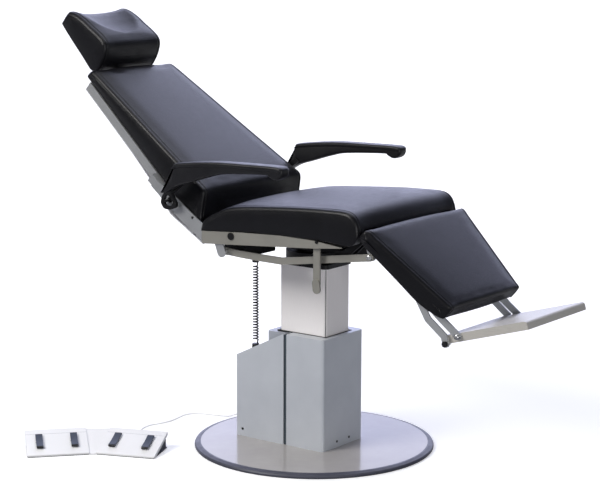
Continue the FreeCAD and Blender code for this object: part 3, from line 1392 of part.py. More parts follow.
def legrest():
    """The legrest frame, its board and its cushion with the recess that the links lie in."""
    length = S.leg_length
    shape = cushion(LEG_SHARES, length, S.leg_depth, S.leg_start, S.leg_low,
                    S.leg_top_half, S.leg_low_half, S.leg_crown)
    y = arm_in - S.overrun
    deep = 2 * float(S.cut_reach)
    recess = Part.makeBox(float(length) + 2 * deep, 2 * float(bracket_inner + S.overrun), 2 * float(S.leg_depth),
                          FreeCAD.Vector(-deep, -float(bracket_inner + S.overrun),
                                         float(S.leg_board_top) + float(S.soft_gap) - 2 * float(S.leg_depth)))
    shape = shape.cut(recess)
    for side in (1, -1):
        y0, y1 = span(side, arm_in - S.lever_gap, S.link_bar_inner)
        pocket = Part.makeBox(float(S.hinge_recess + S.arm_slot_length), float(y1 - y0), deep,
                              FreeCAD.Vector(-float(S.hinge_recess), float(y0),
                                             float(S.leg_boss_radius) + float(S.lever_gap) - deep))
        shape = shape.cut(pocket)
        y0, y1 = span(side, lever_inner - S.lever_gap, lever_inner + S.lever_plate_thick + S.lever_gap)
        pocket = Part.makeBox(float(S.link_slot_length), float(y1 - y0), deep,
                              FreeCAD.Vector(0, float(y0), float(S.link_slot_depth) - deep))
        shape = shape.cut(pocket)
        y0, y1 = span(side, foot_link_in - S.lever_gap, bracket_inner)
        slot = Part.makeBox(2 * float(length), float(y1 - y0), 2 * float(S.leg_depth),
                            FreeCAD.Vector(0, float(y0), float(S.foot_slot_depth) - 2 * float(S.leg_depth)))
        shape = shape.cut(slot)
    groove = Part.makeCylinder(float(S.leg_shaft_radius + S.slide_gap * 2), 2 * float(S.link_bar_inner),
                               FreeCAD.Vector(0, -float(S.link_bar_inner), 0), Y_AXIS)
    made("legrest_cushion", shape.cut(groove), LEG)
    board = box(S.hinge_recess + S.overrun, length - S.leg_board_end_gap, -y, y, S.leg_board_top - S.leg_board_thick,
                S.leg_board_top)
    finish(on_leg(board), "legrest_board")
    pieces = [pin(S.leg_shaft_radius, -lever_inner - S.lever_plate_thick, lever_inner + S.lever_plate_thick,
                  0, 0, LEG)]
    link_u, link_v = leg_spot(S.leg_pivot_x + S.link_reach_x, S.leg_pivot_z + S.link_reach_z)
    pin_u, pin_v = leg_spot(S.foot_pin_x, S.foot_pin_z)
    arm_v = float(S.leg_board_top - S.leg_board_thick) - float(S.foot_link_width) / 2
    for side in (1, -1):
        y0, y1 = span(side, lever_inner, lever_inner + S.lever_plate_thick)
        pieces.append(strap([(0, 0), (link_u, link_v)], S.leg_boss_radius * 2, y0, y1, LEG))
        y0, y1 = span(side, lever_inner + S.lever_plate_thick, S.link_bar_inner + S.link_bar_thick + S.overrun / 2)
        pieces.append(pin(S.link_pin_radius, y0, y1, link_u, link_v, LEG))
        y0, y1 = span(side, arm_in, arm_in + S.foot_link_thick)
        points = [(0, 0), (float(S.leg_arm_knee), arm_v), (float(length - S.leg_arm_end_gap), arm_v),
                  (pin_u, pin_v)]
        arm = strap(points, S.foot_link_width, y0, y1, LEG)
        bore = pin(S.link_pin_radius + S.run_gap, y0 - S.overrun, y1 + S.overrun, pin_u, pin_v, LEG)
        pieces.append(cut(arm, bore))
    low = S.leg_board_top - S.leg_board_thick
    for share in CROSS_SHARES:
        pieces.append(on_leg(box(length * share, length * share + S.foot_link_width, -arm_in, arm_in,
                                 low - S.lever_plate_thick, low)))
    finish(fuse(*pieces), "legrest_frame")


def on_leg(item):
    return place(group(item), LEG[0], 0, LEG[1], LEG[2])


def leg_spot(x, z):
    """The legrest's own (u, v) of a point of the chair."""
    dx = float(x) - float(S.leg_pivot_x)
    dz = float(z) - float(S.leg_pivot_z)
    turn = math.radians(float(S.leg_angle))
    return dx * math.cos(turn) - dz * math.sin(turn), dx * math.sin(turn) + dz * math.cos(turn)


FOOT_LINK_SHARES = [(0.0, 0.0), (0.3, 0.24), (0.61, 0.46), (0.78, 0.76), (0.975, 0.92), (1.0, 1.0)]


def foot_links():
    """Bent links that keep the footplate level; their lower holes have the open pivot's clearance."""
    x1 = S.foot_pin_x + S.foot_link_x
    z1 = S.foot_pin_z + S.foot_link_z
    points = [(link_x + a * (x1 - link_x), link_z + b * (z1 - link_z)) for a, b in FOOT_LINK_SHARES]
    for side, name in ((1, "far"), (-1, "near")):
        y0, y1 = span(side, foot_link_in, foot_link_in + S.foot_link_thick)
        upper = pin(S.link_pin_radius + S.run_gap, y0 - S.overrun, y1 + S.overrun, link_x, link_z)
        lower = pin(S.link_pin_radius + S.slide_gap * 2, y0 - S.overrun, y1 + S.overrun, x1, z1)
        finish(cut(strap(points, S.foot_link_width, y0, y1), upper, lower), f"foot_link_{name}")


def footplate():
    """The folded steel tray, open underneath, with its pivot pins."""
    sheet_thick = S.foot_sheet
    low = S.foot_top - S.foot_flange
    outer = plate([(S.foot_rear, S.foot_top), (S.foot_front, S.foot_top), (S.foot_front, low),
                   (S.foot_rear + S.foot_flange_taper, low)], -S.foot_half, S.foot_half, FOOT,
                  rounds=[(S.foot_corner, [1])])
    inner = plate([(S.foot_rear - S.overrun, S.foot_top - sheet_thick),
                   (S.foot_front - sheet_thick, S.foot_top - sheet_thick),
                   (S.foot_front - sheet_thick, low - S.overrun), (S.foot_rear - S.overrun, low - S.overrun)],
                  sheet_thick - S.foot_half, S.foot_half - sheet_thick, FOOT,
                  rounds=[(S.foot_corner - sheet_thick, [1])])
    rear_x = S.foot_pin_x + S.foot_link_x
    rear_z = S.foot_pin_z + S.foot_link_z
    holes = []
    pins = []
    for side in (1, -1):
        y0, y1 = span(side, S.foot_half - sheet_thick * 2, arm_in + S.foot_link_thick + S.overrun / 2)
        pins.append(pin(S.link_pin_radius, y0, y1, S.foot_pin_x, S.foot_pin_z))
        holes.append(pin(S.link_pin_radius, y0, y1, S.foot_pin_x, S.foot_pin_z))
        y0, y1 = span(side, S.foot_half - sheet_thick * 2, foot_link_in + S.foot_link_thick + S.overrun / 2)
        pins.append(pin(S.link_pin_radius, y0, y1, rear_x, rear_z))
        holes.append(pin(S.link_pin_radius, y0, y1, rear_x, rear_z))
    finish(cut(outer, inner, *holes), "footplate")
    finish(group(*pins), "footplate_pins")


def hand_lever():
    """The flat lever that hangs behind the near rail, joggled outwards, on a short spindle in it."""
    y0, y1 = span(-1, S.lever_y, S.lever_y + S.lever_plate_thick)
    upper = strap([(S.lever_x, S.lever_z), (S.lever_x, S.lever_bend_z)], S.lever_width, y0, y1)
    shift = S.lever_joggle / 2
    tip = (S.lever_x + S.lever_gap * 2, S.lever_tip_z + S.lever_width / 2)
    lower = strap([(S.lever_x, S.lever_bend_z), tip], S.lever_width + S.overrun / 2, y0 - shift, y1 - shift)
    y0, y1 = span(-1, S.lever_y, S.seat_half - S.slide_gap)
    spindle = pin(S.lever_spindle_radius, y0, y1, S.lever_x, S.lever_z)
    finish(fuse(upper, lower, spindle), "hand_lever")


floor_base()
column_guide()
lift_actuator()
inner_column()
cable_arm()
housing_covers()
cover_fixings()
cable_glands()
curly_cable()
foot_controls()
foot_joining_plate()
foot_cord()
swivel_and_frame()
seat_rails()
seat_cushion()
recline_motor()
back_structure()
back_frame()
back_shell()
back_cushion()
headrest()
armrests()
link_bars()
legrest()
foot_links()
footplate()
hand_lever()
doc.recompute()

faults = [f"{item.Name} {item.Label}: {item.State}" for item in doc.Objects
          if "Invalid" in item.State or "Error" in item.State]
for item in SUB_PARTS:
    if item.Shape.isNull() or not item.Shape.isValid() or not item.Shape.Solids:
        faults.append(f"{item.Label}: bad shape")
if faults:
    raise SystemExit("\n".join(faults))
os.makedirs("parts", exist_ok=True)
for item in SUB_PARTS:
    item.Shape.exportStep(os.path.join("parts", item.Label + ".step"))
print(len(SUB_PARTS), "sub-parts written")
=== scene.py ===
# %% [markdown]
# # An eye clinic's examination chair
# The chair stands on a round floor base. A steel column lifts it, and the back, the legrest and the
# footplate move together on flat bars. The metal frame arrives finished, so this lesson dresses it:
# upholstery, cords, small hardware and a finish for every surface.
#
# The first cell loads the frame and its record; a small helper reads the box of any one part.

# %% Load the frame
import json
import math

import bpy
import numpy as np
from mathutils import Matrix, Vector
from mathutils.kdtree import KDTree


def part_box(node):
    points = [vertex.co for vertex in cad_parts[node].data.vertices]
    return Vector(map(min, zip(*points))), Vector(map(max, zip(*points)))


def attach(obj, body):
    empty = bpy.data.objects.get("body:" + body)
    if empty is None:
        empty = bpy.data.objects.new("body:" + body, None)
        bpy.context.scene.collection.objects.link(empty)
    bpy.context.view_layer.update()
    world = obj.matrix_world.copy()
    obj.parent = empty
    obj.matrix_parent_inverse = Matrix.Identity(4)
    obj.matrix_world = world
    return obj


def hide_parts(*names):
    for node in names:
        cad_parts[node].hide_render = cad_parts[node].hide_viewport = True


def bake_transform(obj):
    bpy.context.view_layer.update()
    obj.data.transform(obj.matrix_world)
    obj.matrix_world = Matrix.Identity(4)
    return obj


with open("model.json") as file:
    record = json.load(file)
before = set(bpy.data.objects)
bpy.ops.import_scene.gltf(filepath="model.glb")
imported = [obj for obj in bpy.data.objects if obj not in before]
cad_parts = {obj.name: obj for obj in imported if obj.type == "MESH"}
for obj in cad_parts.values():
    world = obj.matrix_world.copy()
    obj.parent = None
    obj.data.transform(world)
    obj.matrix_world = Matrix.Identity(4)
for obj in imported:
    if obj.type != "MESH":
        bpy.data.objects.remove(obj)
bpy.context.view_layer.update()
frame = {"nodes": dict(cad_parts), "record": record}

# %% [markdown]
# ## The camera
# The photograph was taken from the chair's right front, a little above the seat, with a long lens.
# The round base and the square column give enough straight and round edges to work the camera out,
# so it stands where those edges fall on the picture's own.

# %% Camera
CAMERA_PLACE = (3.12487, -4.25694, 1.54673)
CAMERA_YAW, CAMERA_PITCH, CAMERA_ROLL = (math.radians(angle) for angle in (36.752, 10.274, 0.185))


def camera_matrix():
    """The view direction from yaw and pitch, then a small roll about it."""
    ahead = Vector((-math.sin(CAMERA_YAW) * math.cos(CAMERA_PITCH),
                    math.cos(CAMERA_YAW) * math.cos(CAMERA_PITCH), -math.sin(CAMERA_PITCH)))
    level = Vector((math.cos(CAMERA_YAW), math.sin(CAMERA_YAW), 0))
    over = level.cross(ahead)
    right = level * math.cos(CAMERA_ROLL) + over * math.sin(CAMERA_ROLL)
    up = over * math.cos(CAMERA_ROLL) - level * math.sin(CAMERA_ROLL)
    turned = Matrix((right, up, -ahead)).transposed().to_4x4()
    return Matrix.Translation(CAMERA_PLACE) @ turned


camera = bpy.data.objects.new("camera", bpy.data.cameras.new("camera"))
camera.data.lens = 111.79
camera.data.sensor_width = 36
camera.data.sensor_fit = "HORIZONTAL"
camera.matrix_world = camera_matrix()
bpy.context.scene.collection.objects.link(camera)
bpy.context.scene.camera = camera
print("camera", CAMERA_PLACE, "lens", camera.data.lens)

# %% [markdown]
# ## Two cords
# A curly cable feeds the seat from the housing. It hangs between two collars and is wound like a
# telephone lead, so its line is a helix: twelve points and more for each turn. The foot controls'
# cord is thin and limp. It lies on the floor, climbs over the base's rubber edge and ends in a
# collar at the rear of the housing. Both are curves, because a curve keeps its thickness in a bend.

# %% Curves for cords
def link(item):
    bpy.context.scene.collection.objects.link(item)
    return item


def shaped_mesh(item):
    """A new mesh of what an object looks like with its thickness and modifiers."""
    bpy.context.view_layer.update()
    return bpy.data.meshes.new_from_object(item.evaluated_get(bpy.context.evaluated_depsgraph_get()))


def read_points(points, key="co"):
    """One row of three numbers for each point of a mesh."""
    values = np.empty(len(points) * 3)
    points.foreach_get(key, values)
    return values.reshape(-1, 3)


def cord_curve(name, points, radius):
    """A smooth open line: a NURBS spline of order 3 that starts and ends at its own end points.
    The thickness is in the points and the bevel is 1, because a curve's box grows by its points' radius."""
    curve = bpy.data.curves.new(name, "CURVE")
    curve.dimensions = "3D"
    curve.bevel_depth = 1
    curve.bevel_resolution = 5
    curve.use_fill_caps = True
    spline = curve.splines.new("NURBS")
    points = np.asarray(points, float)
    spline.points.add(len(points) - 1)
    spline.points.foreach_set("co", np.column_stack([points, np.ones(len(points))]).ravel())
    spline.points.foreach_set("radius", np.full(len(points), float(radius)))
    spline.order_u = 3
    spline.use_endpoint_u = True
    spline.resolution_u = 4
    return link(bpy.data.objects.new(name, curve))


FOOT_CORD_ROUTE = [(-.435, -.3209, .012), (-.4433, -.3002, .0105), (-.455, -.272, .005),
                   (-.473, -.238, .002), (-.503, -.196, .002), (-.512, -.152, .002), (-.496, -.112, .002),
                   (-.489, -.072, .002), (-.497, -.03, .002), (-.503, .008, .002), (-.49, .042, .002),
                   (-.455, .054, .002), (-.415, .062, .002), (-.38, .072, .003), (-.362, .074, .01),
                   (-.342, .072, .019), (-.318, .068, .02), (-.292, .063, .019), (-.268, .06, .021),
                   (-.247, .06, .025), (-.23, .06, .025)]
foot_lead = cord_curve("foot_control_lead", FOOT_CORD_ROUTE, .002)

# %% The curly cable's helix
COIL_X, COIL_Y, COIL_RADIUS, COIL_TURNS = -.190, -.035, .007, 27
coil_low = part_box("lower_cable_gland")[1][2]
coil_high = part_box("upper_cable_gland")[0][2]


def curly_points():
    """A circle that climbs at a steady rate, with short straight ends that enter the collars."""
    per_turn, run = 16, .005
    turn = np.arange(COIL_TURNS * per_turn + 1) / per_turn
    angle = turn * 2 * math.pi
    grip = COIL_RADIUS / math.cos(math.pi / per_turn)
    height = coil_low + 2 * run + (coil_high - coil_low - 4 * run) * turn / COIL_TURNS
    helix = np.column_stack([COIL_X + grip * np.cos(angle), COIL_Y + grip * np.sin(angle), height])
    foot = [(COIL_X + COIL_RADIUS, COIL_Y, coil_low), (COIL_X + COIL_RADIUS, COIL_Y, coil_low + run)]
    head = [(COIL_X + COIL_RADIUS, COIL_Y, coil_high - run), (COIL_X + COIL_RADIUS, COIL_Y, coil_high)]
    return np.vstack([foot, helix, head])


def centreline(item):
    """The points of a curve's own line, read from the curve with its thickness left off."""
    depth, item.data.bevel_depth = item.data.bevel_depth, 0
    mesh = shaped_mesh(item)
    line = read_points(mesh.vertices)
    bpy.data.meshes.remove(mesh)
    item.data.bevel_depth = depth
    bpy.context.view_layer.update()
    return line


def line_length(line):
    """Adds up the short straight steps between neighbouring points."""
    return float(np.linalg.norm(np.diff(line, axis=0), axis=1).sum())


# %% [markdown]
# The foot lead stays a curve. The curly lead joins two parts that slide apart; here it becomes a mesh.

foot_lead_length = line_length(centreline(foot_lead))
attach(foot_lead, "base")
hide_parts("foot_cord")

helix = cord_curve("helix", curly_points(), .002)
helix.data.bevel_resolution = 3
helix_line = centreline(helix)
curly_lead = link(bpy.data.objects.new("curly_lead", shaped_mesh(helix)))
bpy.data.objects.remove(helix)
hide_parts("curly_cable")
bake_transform(curly_lead)
print("foot lead", round(foot_lead_length, 4), "m, curly lead", round(line_length(helix_line), 4), "m")

# %% [markdown]
# ## Node networks
# The studio and every finish are small node networks. These helpers add a node with its values and
# wires, spread a pattern between two numbers or two colours, and start a material.

# %% Helpers for node networks
def node(owner, kind, inputs={}, **settings):
    """A new node in a material or world; each input gets a fixed value or a wire from a socket."""
    item = owner.node_tree.nodes.new(kind)
    for key, value in settings.items():
        setattr(item, key, value)
    for socket, value in inputs.items():
        if isinstance(value, bpy.types.NodeSocket):
            owner.node_tree.links.new(value, item.inputs[socket])
        else:
            item.inputs[socket].default_value = value
    return item


def ranged(owner, value, near, far, low, high):
    """Maps a number from one range to another."""
    return node(owner, "ShaderNodeMapRange", {"Value": value, "From Min": near, "From Max": far,
                                              "To Min": low, "To Max": high}).outputs["Result"]


def tinted(owner, factor, near, far, low, high, interpolation="LINEAR"):
    """Maps a number's range to the way from one colour to another."""
    ramp = node(owner, "ShaderNodeValToRGB", {"Fac": factor})
    ramp.color_ramp.interpolation = interpolation
    for end, place, colour in zip(ramp.color_ramp.elements, (near, far), (low, high)):
        end.position, end.color = place, (*colour, 1)
    return ramp.outputs["Color"]


def start_finish(name, colour, roughness, metallic=0.0, **sockets):
    """A Principled material whose constants sit on the shader's own sockets."""
    finish = bpy.data.materials.new(name)
    finish.use_nodes = True
    shader = finish.node_tree.nodes["Principled BSDF"]
    shader.inputs["Base Color"].default_value = (*colour, 1)
    shader.inputs["Roughness"].default_value = roughness
    shader.inputs["Metallic"].default_value = metallic
    for socket, value in sockets.items():
        shader.inputs[socket.replace("_", " ")].default_value = value
    return finish


def to_shader(finish, source, socket):
    finish.node_tree.links.new(source, finish.node_tree.nodes["Principled BSDF"].inputs[socket])


# %% [markdown]
# ## Studio
# The photograph has a white backdrop and soft light from above and from the left. A pale floor
# keeps the chair's shadow. The backdrop's white reaches the camera and mirror-like surfaces only,
# through the Light Path node, so it doesn't wash the chair out.

# %% Light
scene = bpy.context.scene
scene.view_settings.view_transform = "Standard"
BACKDROP_WAY = (-.56, .80, .20)
ROOM_DARK = (.045, .048, .056)
ROOM_BRIGHT = (1.50, 1.57, 2.15)


def studio_world():
    """White for the camera; for light and mirrors, a bright backdrop and a dim room around the camera."""
    world = bpy.data.worlds.new("studio")
    scene.world = world
    world.use_nodes = True
    world.node_tree.nodes.clear()
    path = node(world, "ShaderNodeLightPath").outputs
    seen = node(world, "ShaderNodeMath", {0: path["Is Camera Ray"], 1: path["Is Transmission Ray"]},
                operation="MAXIMUM")
    way = node(world, "ShaderNodeTexCoord").outputs["Generated"]
    towards = node(world, "ShaderNodeVectorMath", {0: way, 1: BACKDROP_WAY}, operation="DOT_PRODUCT")
    fall = tinted(world, towards.outputs["Value"], .58, .92, ROOM_DARK, ROOM_BRIGHT, "EASE")
    room = node(world, "ShaderNodeBackground", {"Color": fall, "Strength": 1})
    white = node(world, "ShaderNodeBackground", {"Strength": 1})
    shown = node(world, "ShaderNodeMixShader", {0: seen.outputs[0], 1: room.outputs[0], 2: white.outputs[0]})
    node(world, "ShaderNodeOutputWorld", {0: shown.outputs[0]})


def softbox(name, place, target, size, power, tint=(1, 1, 1)):
    """A rectangular lamp that looks at a point."""
    lamp = bpy.data.lights.new(name, "AREA")
    lamp.shape = "RECTANGLE"
    lamp.size, lamp.size_y = size
    lamp.energy = power
    lamp.color = tint
    item = link(bpy.data.objects.new(name, lamp))
    item.location = place
    item.rotation_euler = (Vector(target) - Vector(place)).to_track_quat("-Z", "Y").to_euler()


studio_world()
softbox("overhead", (.1, .2, 3.2), (0, 0, .5), (2.2, 1.8), 31, (.93, .94, 1))
softbox("behind_back", (-.55, 1.75, 2.35), (-.35, 0, .95), (1.9, 1.0), 9, (.72, .76, 1))
softbox("left_high", (-1.3, -3.0, 2.9), (0, 0, .45), (1.8, 1.8), 125, (1, .985, .96))
softbox("right_low", (2.9, .9, 1.5), (.1, 0, .5), (1.2, 1.6), 4, (.9, .94, 1))
softbox("front_low", (3.2, -2.6, .9), (0, 0, .4), (1.2, .8), 46)

# %% Floor
FLOOR_REACH = 30
floor_mesh = bpy.data.meshes.new("floor")
floor_corners = [(x * FLOOR_REACH, y * FLOOR_REACH, 0) for x, y in ((-1, -1), (1, -1), (1, 1), (-1, 1))]
floor_mesh.from_pydata(floor_corners, [], [(0, 1, 2, 3)])
floor = link(bpy.data.objects.new("floor", floor_mesh))


def for_camera(owner, kind, no, yes):
    """One value for what the camera sees itself, another for light and mirrors."""
    first, out = {"FLOAT": (2, 0), "RGBA": (6, 2)}[kind]
    seen = node(owner, "ShaderNodeLightPath").outputs["Is Camera Ray"]
    return node(owner, "ShaderNodeMix", {0: seen, first: no, first + 1: yes}, data_type=kind).outputs[out]


def floor_paint():
    """White paper for the camera, brighter with distance; for mirrors, dim paper that brightens behind."""
    paint = start_finish("studio_floor", (.86, .86, .87), .8, Specular_IOR_Level=.1,
                         Emission_Color=(1, 1, 1, 1))
    spot = node(paint, "ShaderNodeTexCoord").outputs["Object"]
    away = node(paint, "ShaderNodeVectorMath", {0: spot}, operation="LENGTH").outputs["Value"]
    behind = node(paint, "ShaderNodeVectorMath", {0: spot, 1: (*BACKDROP_WAY[:2], 0)},
                  operation="DOT_PRODUCT").outputs["Value"]
    glow = for_camera(paint, "FLOAT", ranged(paint, behind, -.2, 1.6, 0, .55),
                      ranged(paint, away, .9, 3.2, .40, 1.0))
    to_shader(paint, glow, "Emission Strength")
    paper = for_camera(paint, "RGBA", (.26, .265, .28, 1), (.86, .86, .87, 1))
    to_shader(paint, paper, "Base Color")
    return paint


floor_mesh.materials.append(floor_paint())
print("studio ready")

# %% [markdown]
# ## Finishes for the frame
# Each finish works on Object coordinates, so its grain stays the same size on every piece. One
# helper makes a noise, one spreads it between two colours or two roughnesses, one makes it a bump.

# %% Helpers for finishes
def place_pattern(finish, stretch=(1, 1, 1)):
    """Object coordinates in metres, stretched along one axis for brushed or ribbed surfaces."""
    spot = node(finish, "ShaderNodeTexCoord").outputs["Object"]
    return node(finish, "ShaderNodeMapping", {"Scale": stretch, "Vector": spot}).outputs["Vector"]


def noise(finish, vector, scale, detail=3.0, roughness=.55):
    return node(finish, "ShaderNodeTexNoise", {"Scale": scale, "Detail": detail, "Roughness": roughness,
                                               "Vector": vector}).outputs["Fac"]


def spread(finish, factor, socket, low, high, near=.3, far=.7):
    """Maps a pattern's middle range to two colours or two numbers on one socket of the shader."""
    make = tinted if isinstance(low, tuple) else ranged
    to_shader(finish, make(finish, factor, near, far, low, high), socket)


def bump(finish, height, depth, strength=.5, under=None):
    """Adds a bump of a real depth in metres, on top of an earlier one if there is one."""
    inputs = {"Distance": depth, "Strength": strength, "Height": height}
    if under:
        inputs["Normal"] = under
    normal = node(finish, "ShaderNodeBump", inputs).outputs["Normal"]
    to_shader(finish, normal, "Normal")
    return normal


# %% Painted and coated metal
def sprayed_metal(name, colour, shade, roughness, metallic, flake=2600):
    """Sprayed paint: faint orange peel, fine flakes in the roughness, and a slow drift in colour."""
    paint = start_finish(name, colour, roughness, metallic, Coat_Weight=.15, Coat_Roughness=.12)
    place = place_pattern(paint)
    spread(paint, noise(paint, place, 9), "Base Color", shade, colour)
    spread(paint, noise(paint, place, flake, 2), "Roughness", roughness - .05, roughness + .09)
    bump(paint, noise(paint, place, 420, 2), .00012, .25)
    return paint


def powder_coat(name, colour, shade, roughness, **sockets):
    """Powder coat: a pebbled skin that breaks the gloss up, and dust in the colour."""
    paint = start_finish(name, colour, roughness, **sockets)
    place = place_pattern(paint)
    spread(paint, noise(paint, place, 14), "Base Color", shade, colour)
    spread(paint, noise(paint, place, 700, 2), "Roughness", roughness - .08, roughness + .1)
    bump(paint, noise(paint, place, 1500, 2), .0002, .4)
    return paint


def brushed(name, colour, shade, roughness, stretch, metallic=1.0):
    """Brushed metal: a noise drawn out along the stroke, in colour, roughness and bump."""
    metal = start_finish(name, colour, roughness, metallic)
    stroke = place_pattern(metal, stretch)
    lines = noise(metal, stroke, 40, 5, .7)
    spread(metal, lines, "Base Color", shade, colour)
    spread(metal, lines, "Roughness", roughness - .06, roughness + .1)
    bump(metal, lines, .00006, .22)
    return metal


housing_paint = sprayed_metal("housing_paint", (.60, .63, .68), (.55, .58, .63), .36, .2)
# The shoulder takes a darker copy of the housing paint: painted shade that sets its face apart from the lit
# slope beside it.
shaded_shoulder_paint = sprayed_metal("shaded_shoulder_paint", (.40, .42, .47), (.36, .38, .43), .4, .15)
rail_paint = sprayed_metal("rail_paint", (.36, .35, .315), (.30, .29, .26), .40, .45)
plate_paint = sprayed_metal("plate_paint", (.56, .57, .58), (.48, .49, .50), .32, .65)
motor_enamel = sprayed_metal("motor_enamel", (.30, .33, .38), (.24, .27, .31), .42, .15)
frame_coat = powder_coat("frame_coat", (.008, .008, .009), (.005, .005, .006), .5, Specular_IOR_Level=.25)
head_coat = powder_coat("head_coat", (.008, .008, .009), (.005, .005, .006), .42, Specular_IOR_Level=.3)
base_primer = powder_coat("base_primer", (.05, .05, .055), (.03, .03, .034), .6)
column_steel = brushed("column_steel", (.93, .90, .90), (.87, .84, .84), .36, (30, 30, .6), .05)
tray_steel = brushed("tray_steel", (.56, .54, .50), (.49, .47, .435), .30, (1, 30, 30), .12)
zinc = brushed("zinc", (.62, .62, .63), (.5, .5, .51), .32, (6, 6, 6))
ground_rod = brushed("ground_rod", (.82, .82, .84), (.74, .74, .76), .12, (4, 4, 60))

# %% Plastics, rubber and board
def moulded(name, colour, shade, roughness, grain=1800, depth=.00008, **sockets):
    """Moulded plastic: fine spark-eroded grain, a soft cloud in the colour, worn gloss patches."""
    skin = start_finish(name, colour, roughness, **sockets)
    place = place_pattern(skin)
    spread(skin, noise(skin, place, 7), "Base Color", shade, colour)
    spread(skin, noise(skin, place, 55), "Roughness", roughness - .06, roughness + .07)
    bump(skin, noise(skin, place, grain, 2), depth, .3)
    return skin


laminate = moulded("laminate", (.51, .485, .475), (.465, .44, .435), .16, 300, .00002)
edge_rubber = moulded("edge_rubber", (.080, .082, .112), (.062, .064, .090), .42)
black_rubber = moulded("black_rubber", (.014, .014, .015), (.009, .009, .010), .45)
arm_skin = moulded("arm_skin", (.013, .013, .015), (.008, .008, .010), .36, 1300, .00012,
                   Specular_IOR_Level=.3)
shell_plastic = moulded("shell_plastic", (.62, .625, .67), (.56, .565, .61), .35)
# The cord's faint emission is painted light: a glow that lifts the thin lead where the lamps leave it in
# shade.
glowing_cord_skin = moulded("glowing_cord_skin", (.90, .90, .91), (.86, .86, .87), .5, Emission_Strength=.22,
                    Emission_Color=(.9, .9, .92, 1))
seal_rubber = moulded("seal_rubber", (.050, .068, .085), (.040, .055, .070), .5)
strip_grey = moulded("strip_grey", (.55, .55, .57), (.5, .5, .52), .45)
cable_skin = moulded("cable_skin", (.004, .004, .005), (.003, .003, .004), .6, Specular_IOR_Level=.2)
pedal_rubber = moulded("pedal_rubber", (.055, .068, .100), (.042, .052, .080), .42)
black_trim_and_painted_shade = moulded("black_trim_and_painted_shade", (.010, .010, .013), (.006, .006, .008), .4)
control_white = moulded("control_white", (.90, .90, .91), (.86, .86, .87), .38)
control_dark = moulded("control_dark", (.035, .037, .055), (.022, .024, .038), .45)
slide_plastic = moulded("slide_plastic", (.7, .7, .66), (.62, .62, .58), .3)
case_plastic = moulded("case_plastic", (.03, .03, .032), (.02, .02, .022), .5)


def plywood():
    """Black stained board: long growth rings from a stretched wave, and short pores across them."""
    board = start_finish("plywood", (.012, .011, .010), .6)
    place = place_pattern(board, (1, 8, 8))
    rings = node(board, "ShaderNodeTexWave", {"Scale": 3, "Distortion": 5, "Vector": place},
                 wave_type="BANDS", bands_direction="Y")
    spread(board, rings.outputs["Fac"], "Base Color", (.008, .007, .006), (.018, .016, .014), .1, .9)
    bump(board, noise(board, place, 200), .0002, .3)
    return board


FINISH_OF = {
    "steel_plate": base_primer, "laminate": laminate, "edge_rubber": edge_rubber,
    "guide_steel": frame_coat, "slide_pad": slide_plastic, "housing_paint": housing_paint,
    "black_seal": black_rubber, "screw": zinc, "actuator": motor_enamel, "rod_steel": ground_rod,
    "electronics": case_plastic, "column_steel": column_steel, "black_metal": head_coat,
    "rail_paint": rail_paint, "board": plywood(), "arm_black": arm_skin, "bright_plate": plate_paint,
    "shell": shell_plastic, "tray_steel": tray_steel, "control_white": control_white,
    "control_dark": control_dark, "pedal_blue": control_dark, "leather": black_rubber,
}


def dress(item, finish):
    """Fills every material slot of a piece with one finish, or adds the slot."""
    if not item.data.materials:
        item.data.materials.append(finish)
    for slot in item.material_slots:
        slot.material = finish


for row in frame["record"]["subparts"]:
    dress(frame["nodes"][row["node"]], FINISH_OF[row["material_slot"]])
dress(foot_lead, glowing_cord_skin)
dress(curly_lead, cable_skin)
print("finishes", len(bpy.data.materials))

# %% [markdown]
# ## Upholstery
# The four cushions are foam under black leatherette. Each has two flat side panels cut to the
# cushion's side view and one long panel that goes over the top and round both ends. The side panel
# turns over the edge in a soft round, and a twin-needle seam joins it to the top a finger's width
# in. So the natural grid for a cushion runs round its side view one way and across it the other:
# the seam is then simply two rows of that grid, and it can be pressed in exactly.
#
# The foam's swell comes from a short cloth simulation on a coarse copy. Its movement is smoothed
# and carried over to the fine grid, which keeps its rows.

# %% Side views as smooth closed lines
MM = .001


def distances(line):
    """How far each point lies along a line from its first point."""
    return np.concatenate([[0], np.cumsum(np.linalg.norm(np.diff(line, axis=0), axis=1))])


def points_at(line, along, places):
    """Points at given distances along a line."""
    return np.column_stack([np.interp(places, along, column) for column in line.T])


def unit(ways):
    """The same directions with a length of 1."""
    return ways / np.linalg.norm(ways, axis=-1)[..., None]


def smooth_loop(corners, count):
    """A closed Catmull-Rom curve through the corners, at even steps of its own length."""
    corners = np.asarray(corners, float) * MM
    step = np.linspace(0, 1, 24, endpoint=False)[:, None]
    before, here, after, beyond = (np.roll(corners, shift, axis=0)[:, None] for shift in (1, 0, -1, -2))
    curve = .5 * (2 * here + (after - before) * step
                  + (2 * before - 5 * here + 4 * after - beyond) * step ** 2
                  + (3 * here - before - 3 * after + beyond) * step ** 3)
    curve = curve.reshape(-1, 2)
    closed = np.vstack([curve, curve[:1]])
    along = distances(closed)
    return points_at(closed, along, np.linspace(0, along[-1], count, endpoint=False))


def side_view(shares, start, length, foot, depth):
    """The closed side view from a table of (along, low, high) shares: top forwards, foot back."""
    table = np.asarray(shares, float)
    along = start + table[:, 0] * length
    top = np.column_stack([along, foot + table[:, 2] * depth])
    under = np.column_stack([along, foot + table[:, 1] * depth])[::-1]
    return np.vstack([top, under])


def leaning(origin, angle, mirror=1):
    """Turns (along, across, out) of a sloping part into the chair's x, y and z."""
    turn = math.radians(angle)

    def to_chair(along, across, out):
        x = origin[0] + mirror * along * math.cos(turn) + out * math.sin(turn)
        z = origin[1] - mirror * along * math.sin(turn) + out * math.cos(turn)
        return np.stack([x, across, z], axis=-1)
    return to_chair


UPRIGHT = leaning((0, 0), 0)
BACK = leaning((-.170, .646), 40, -1)
LEG = leaning((.325, .683), 40)

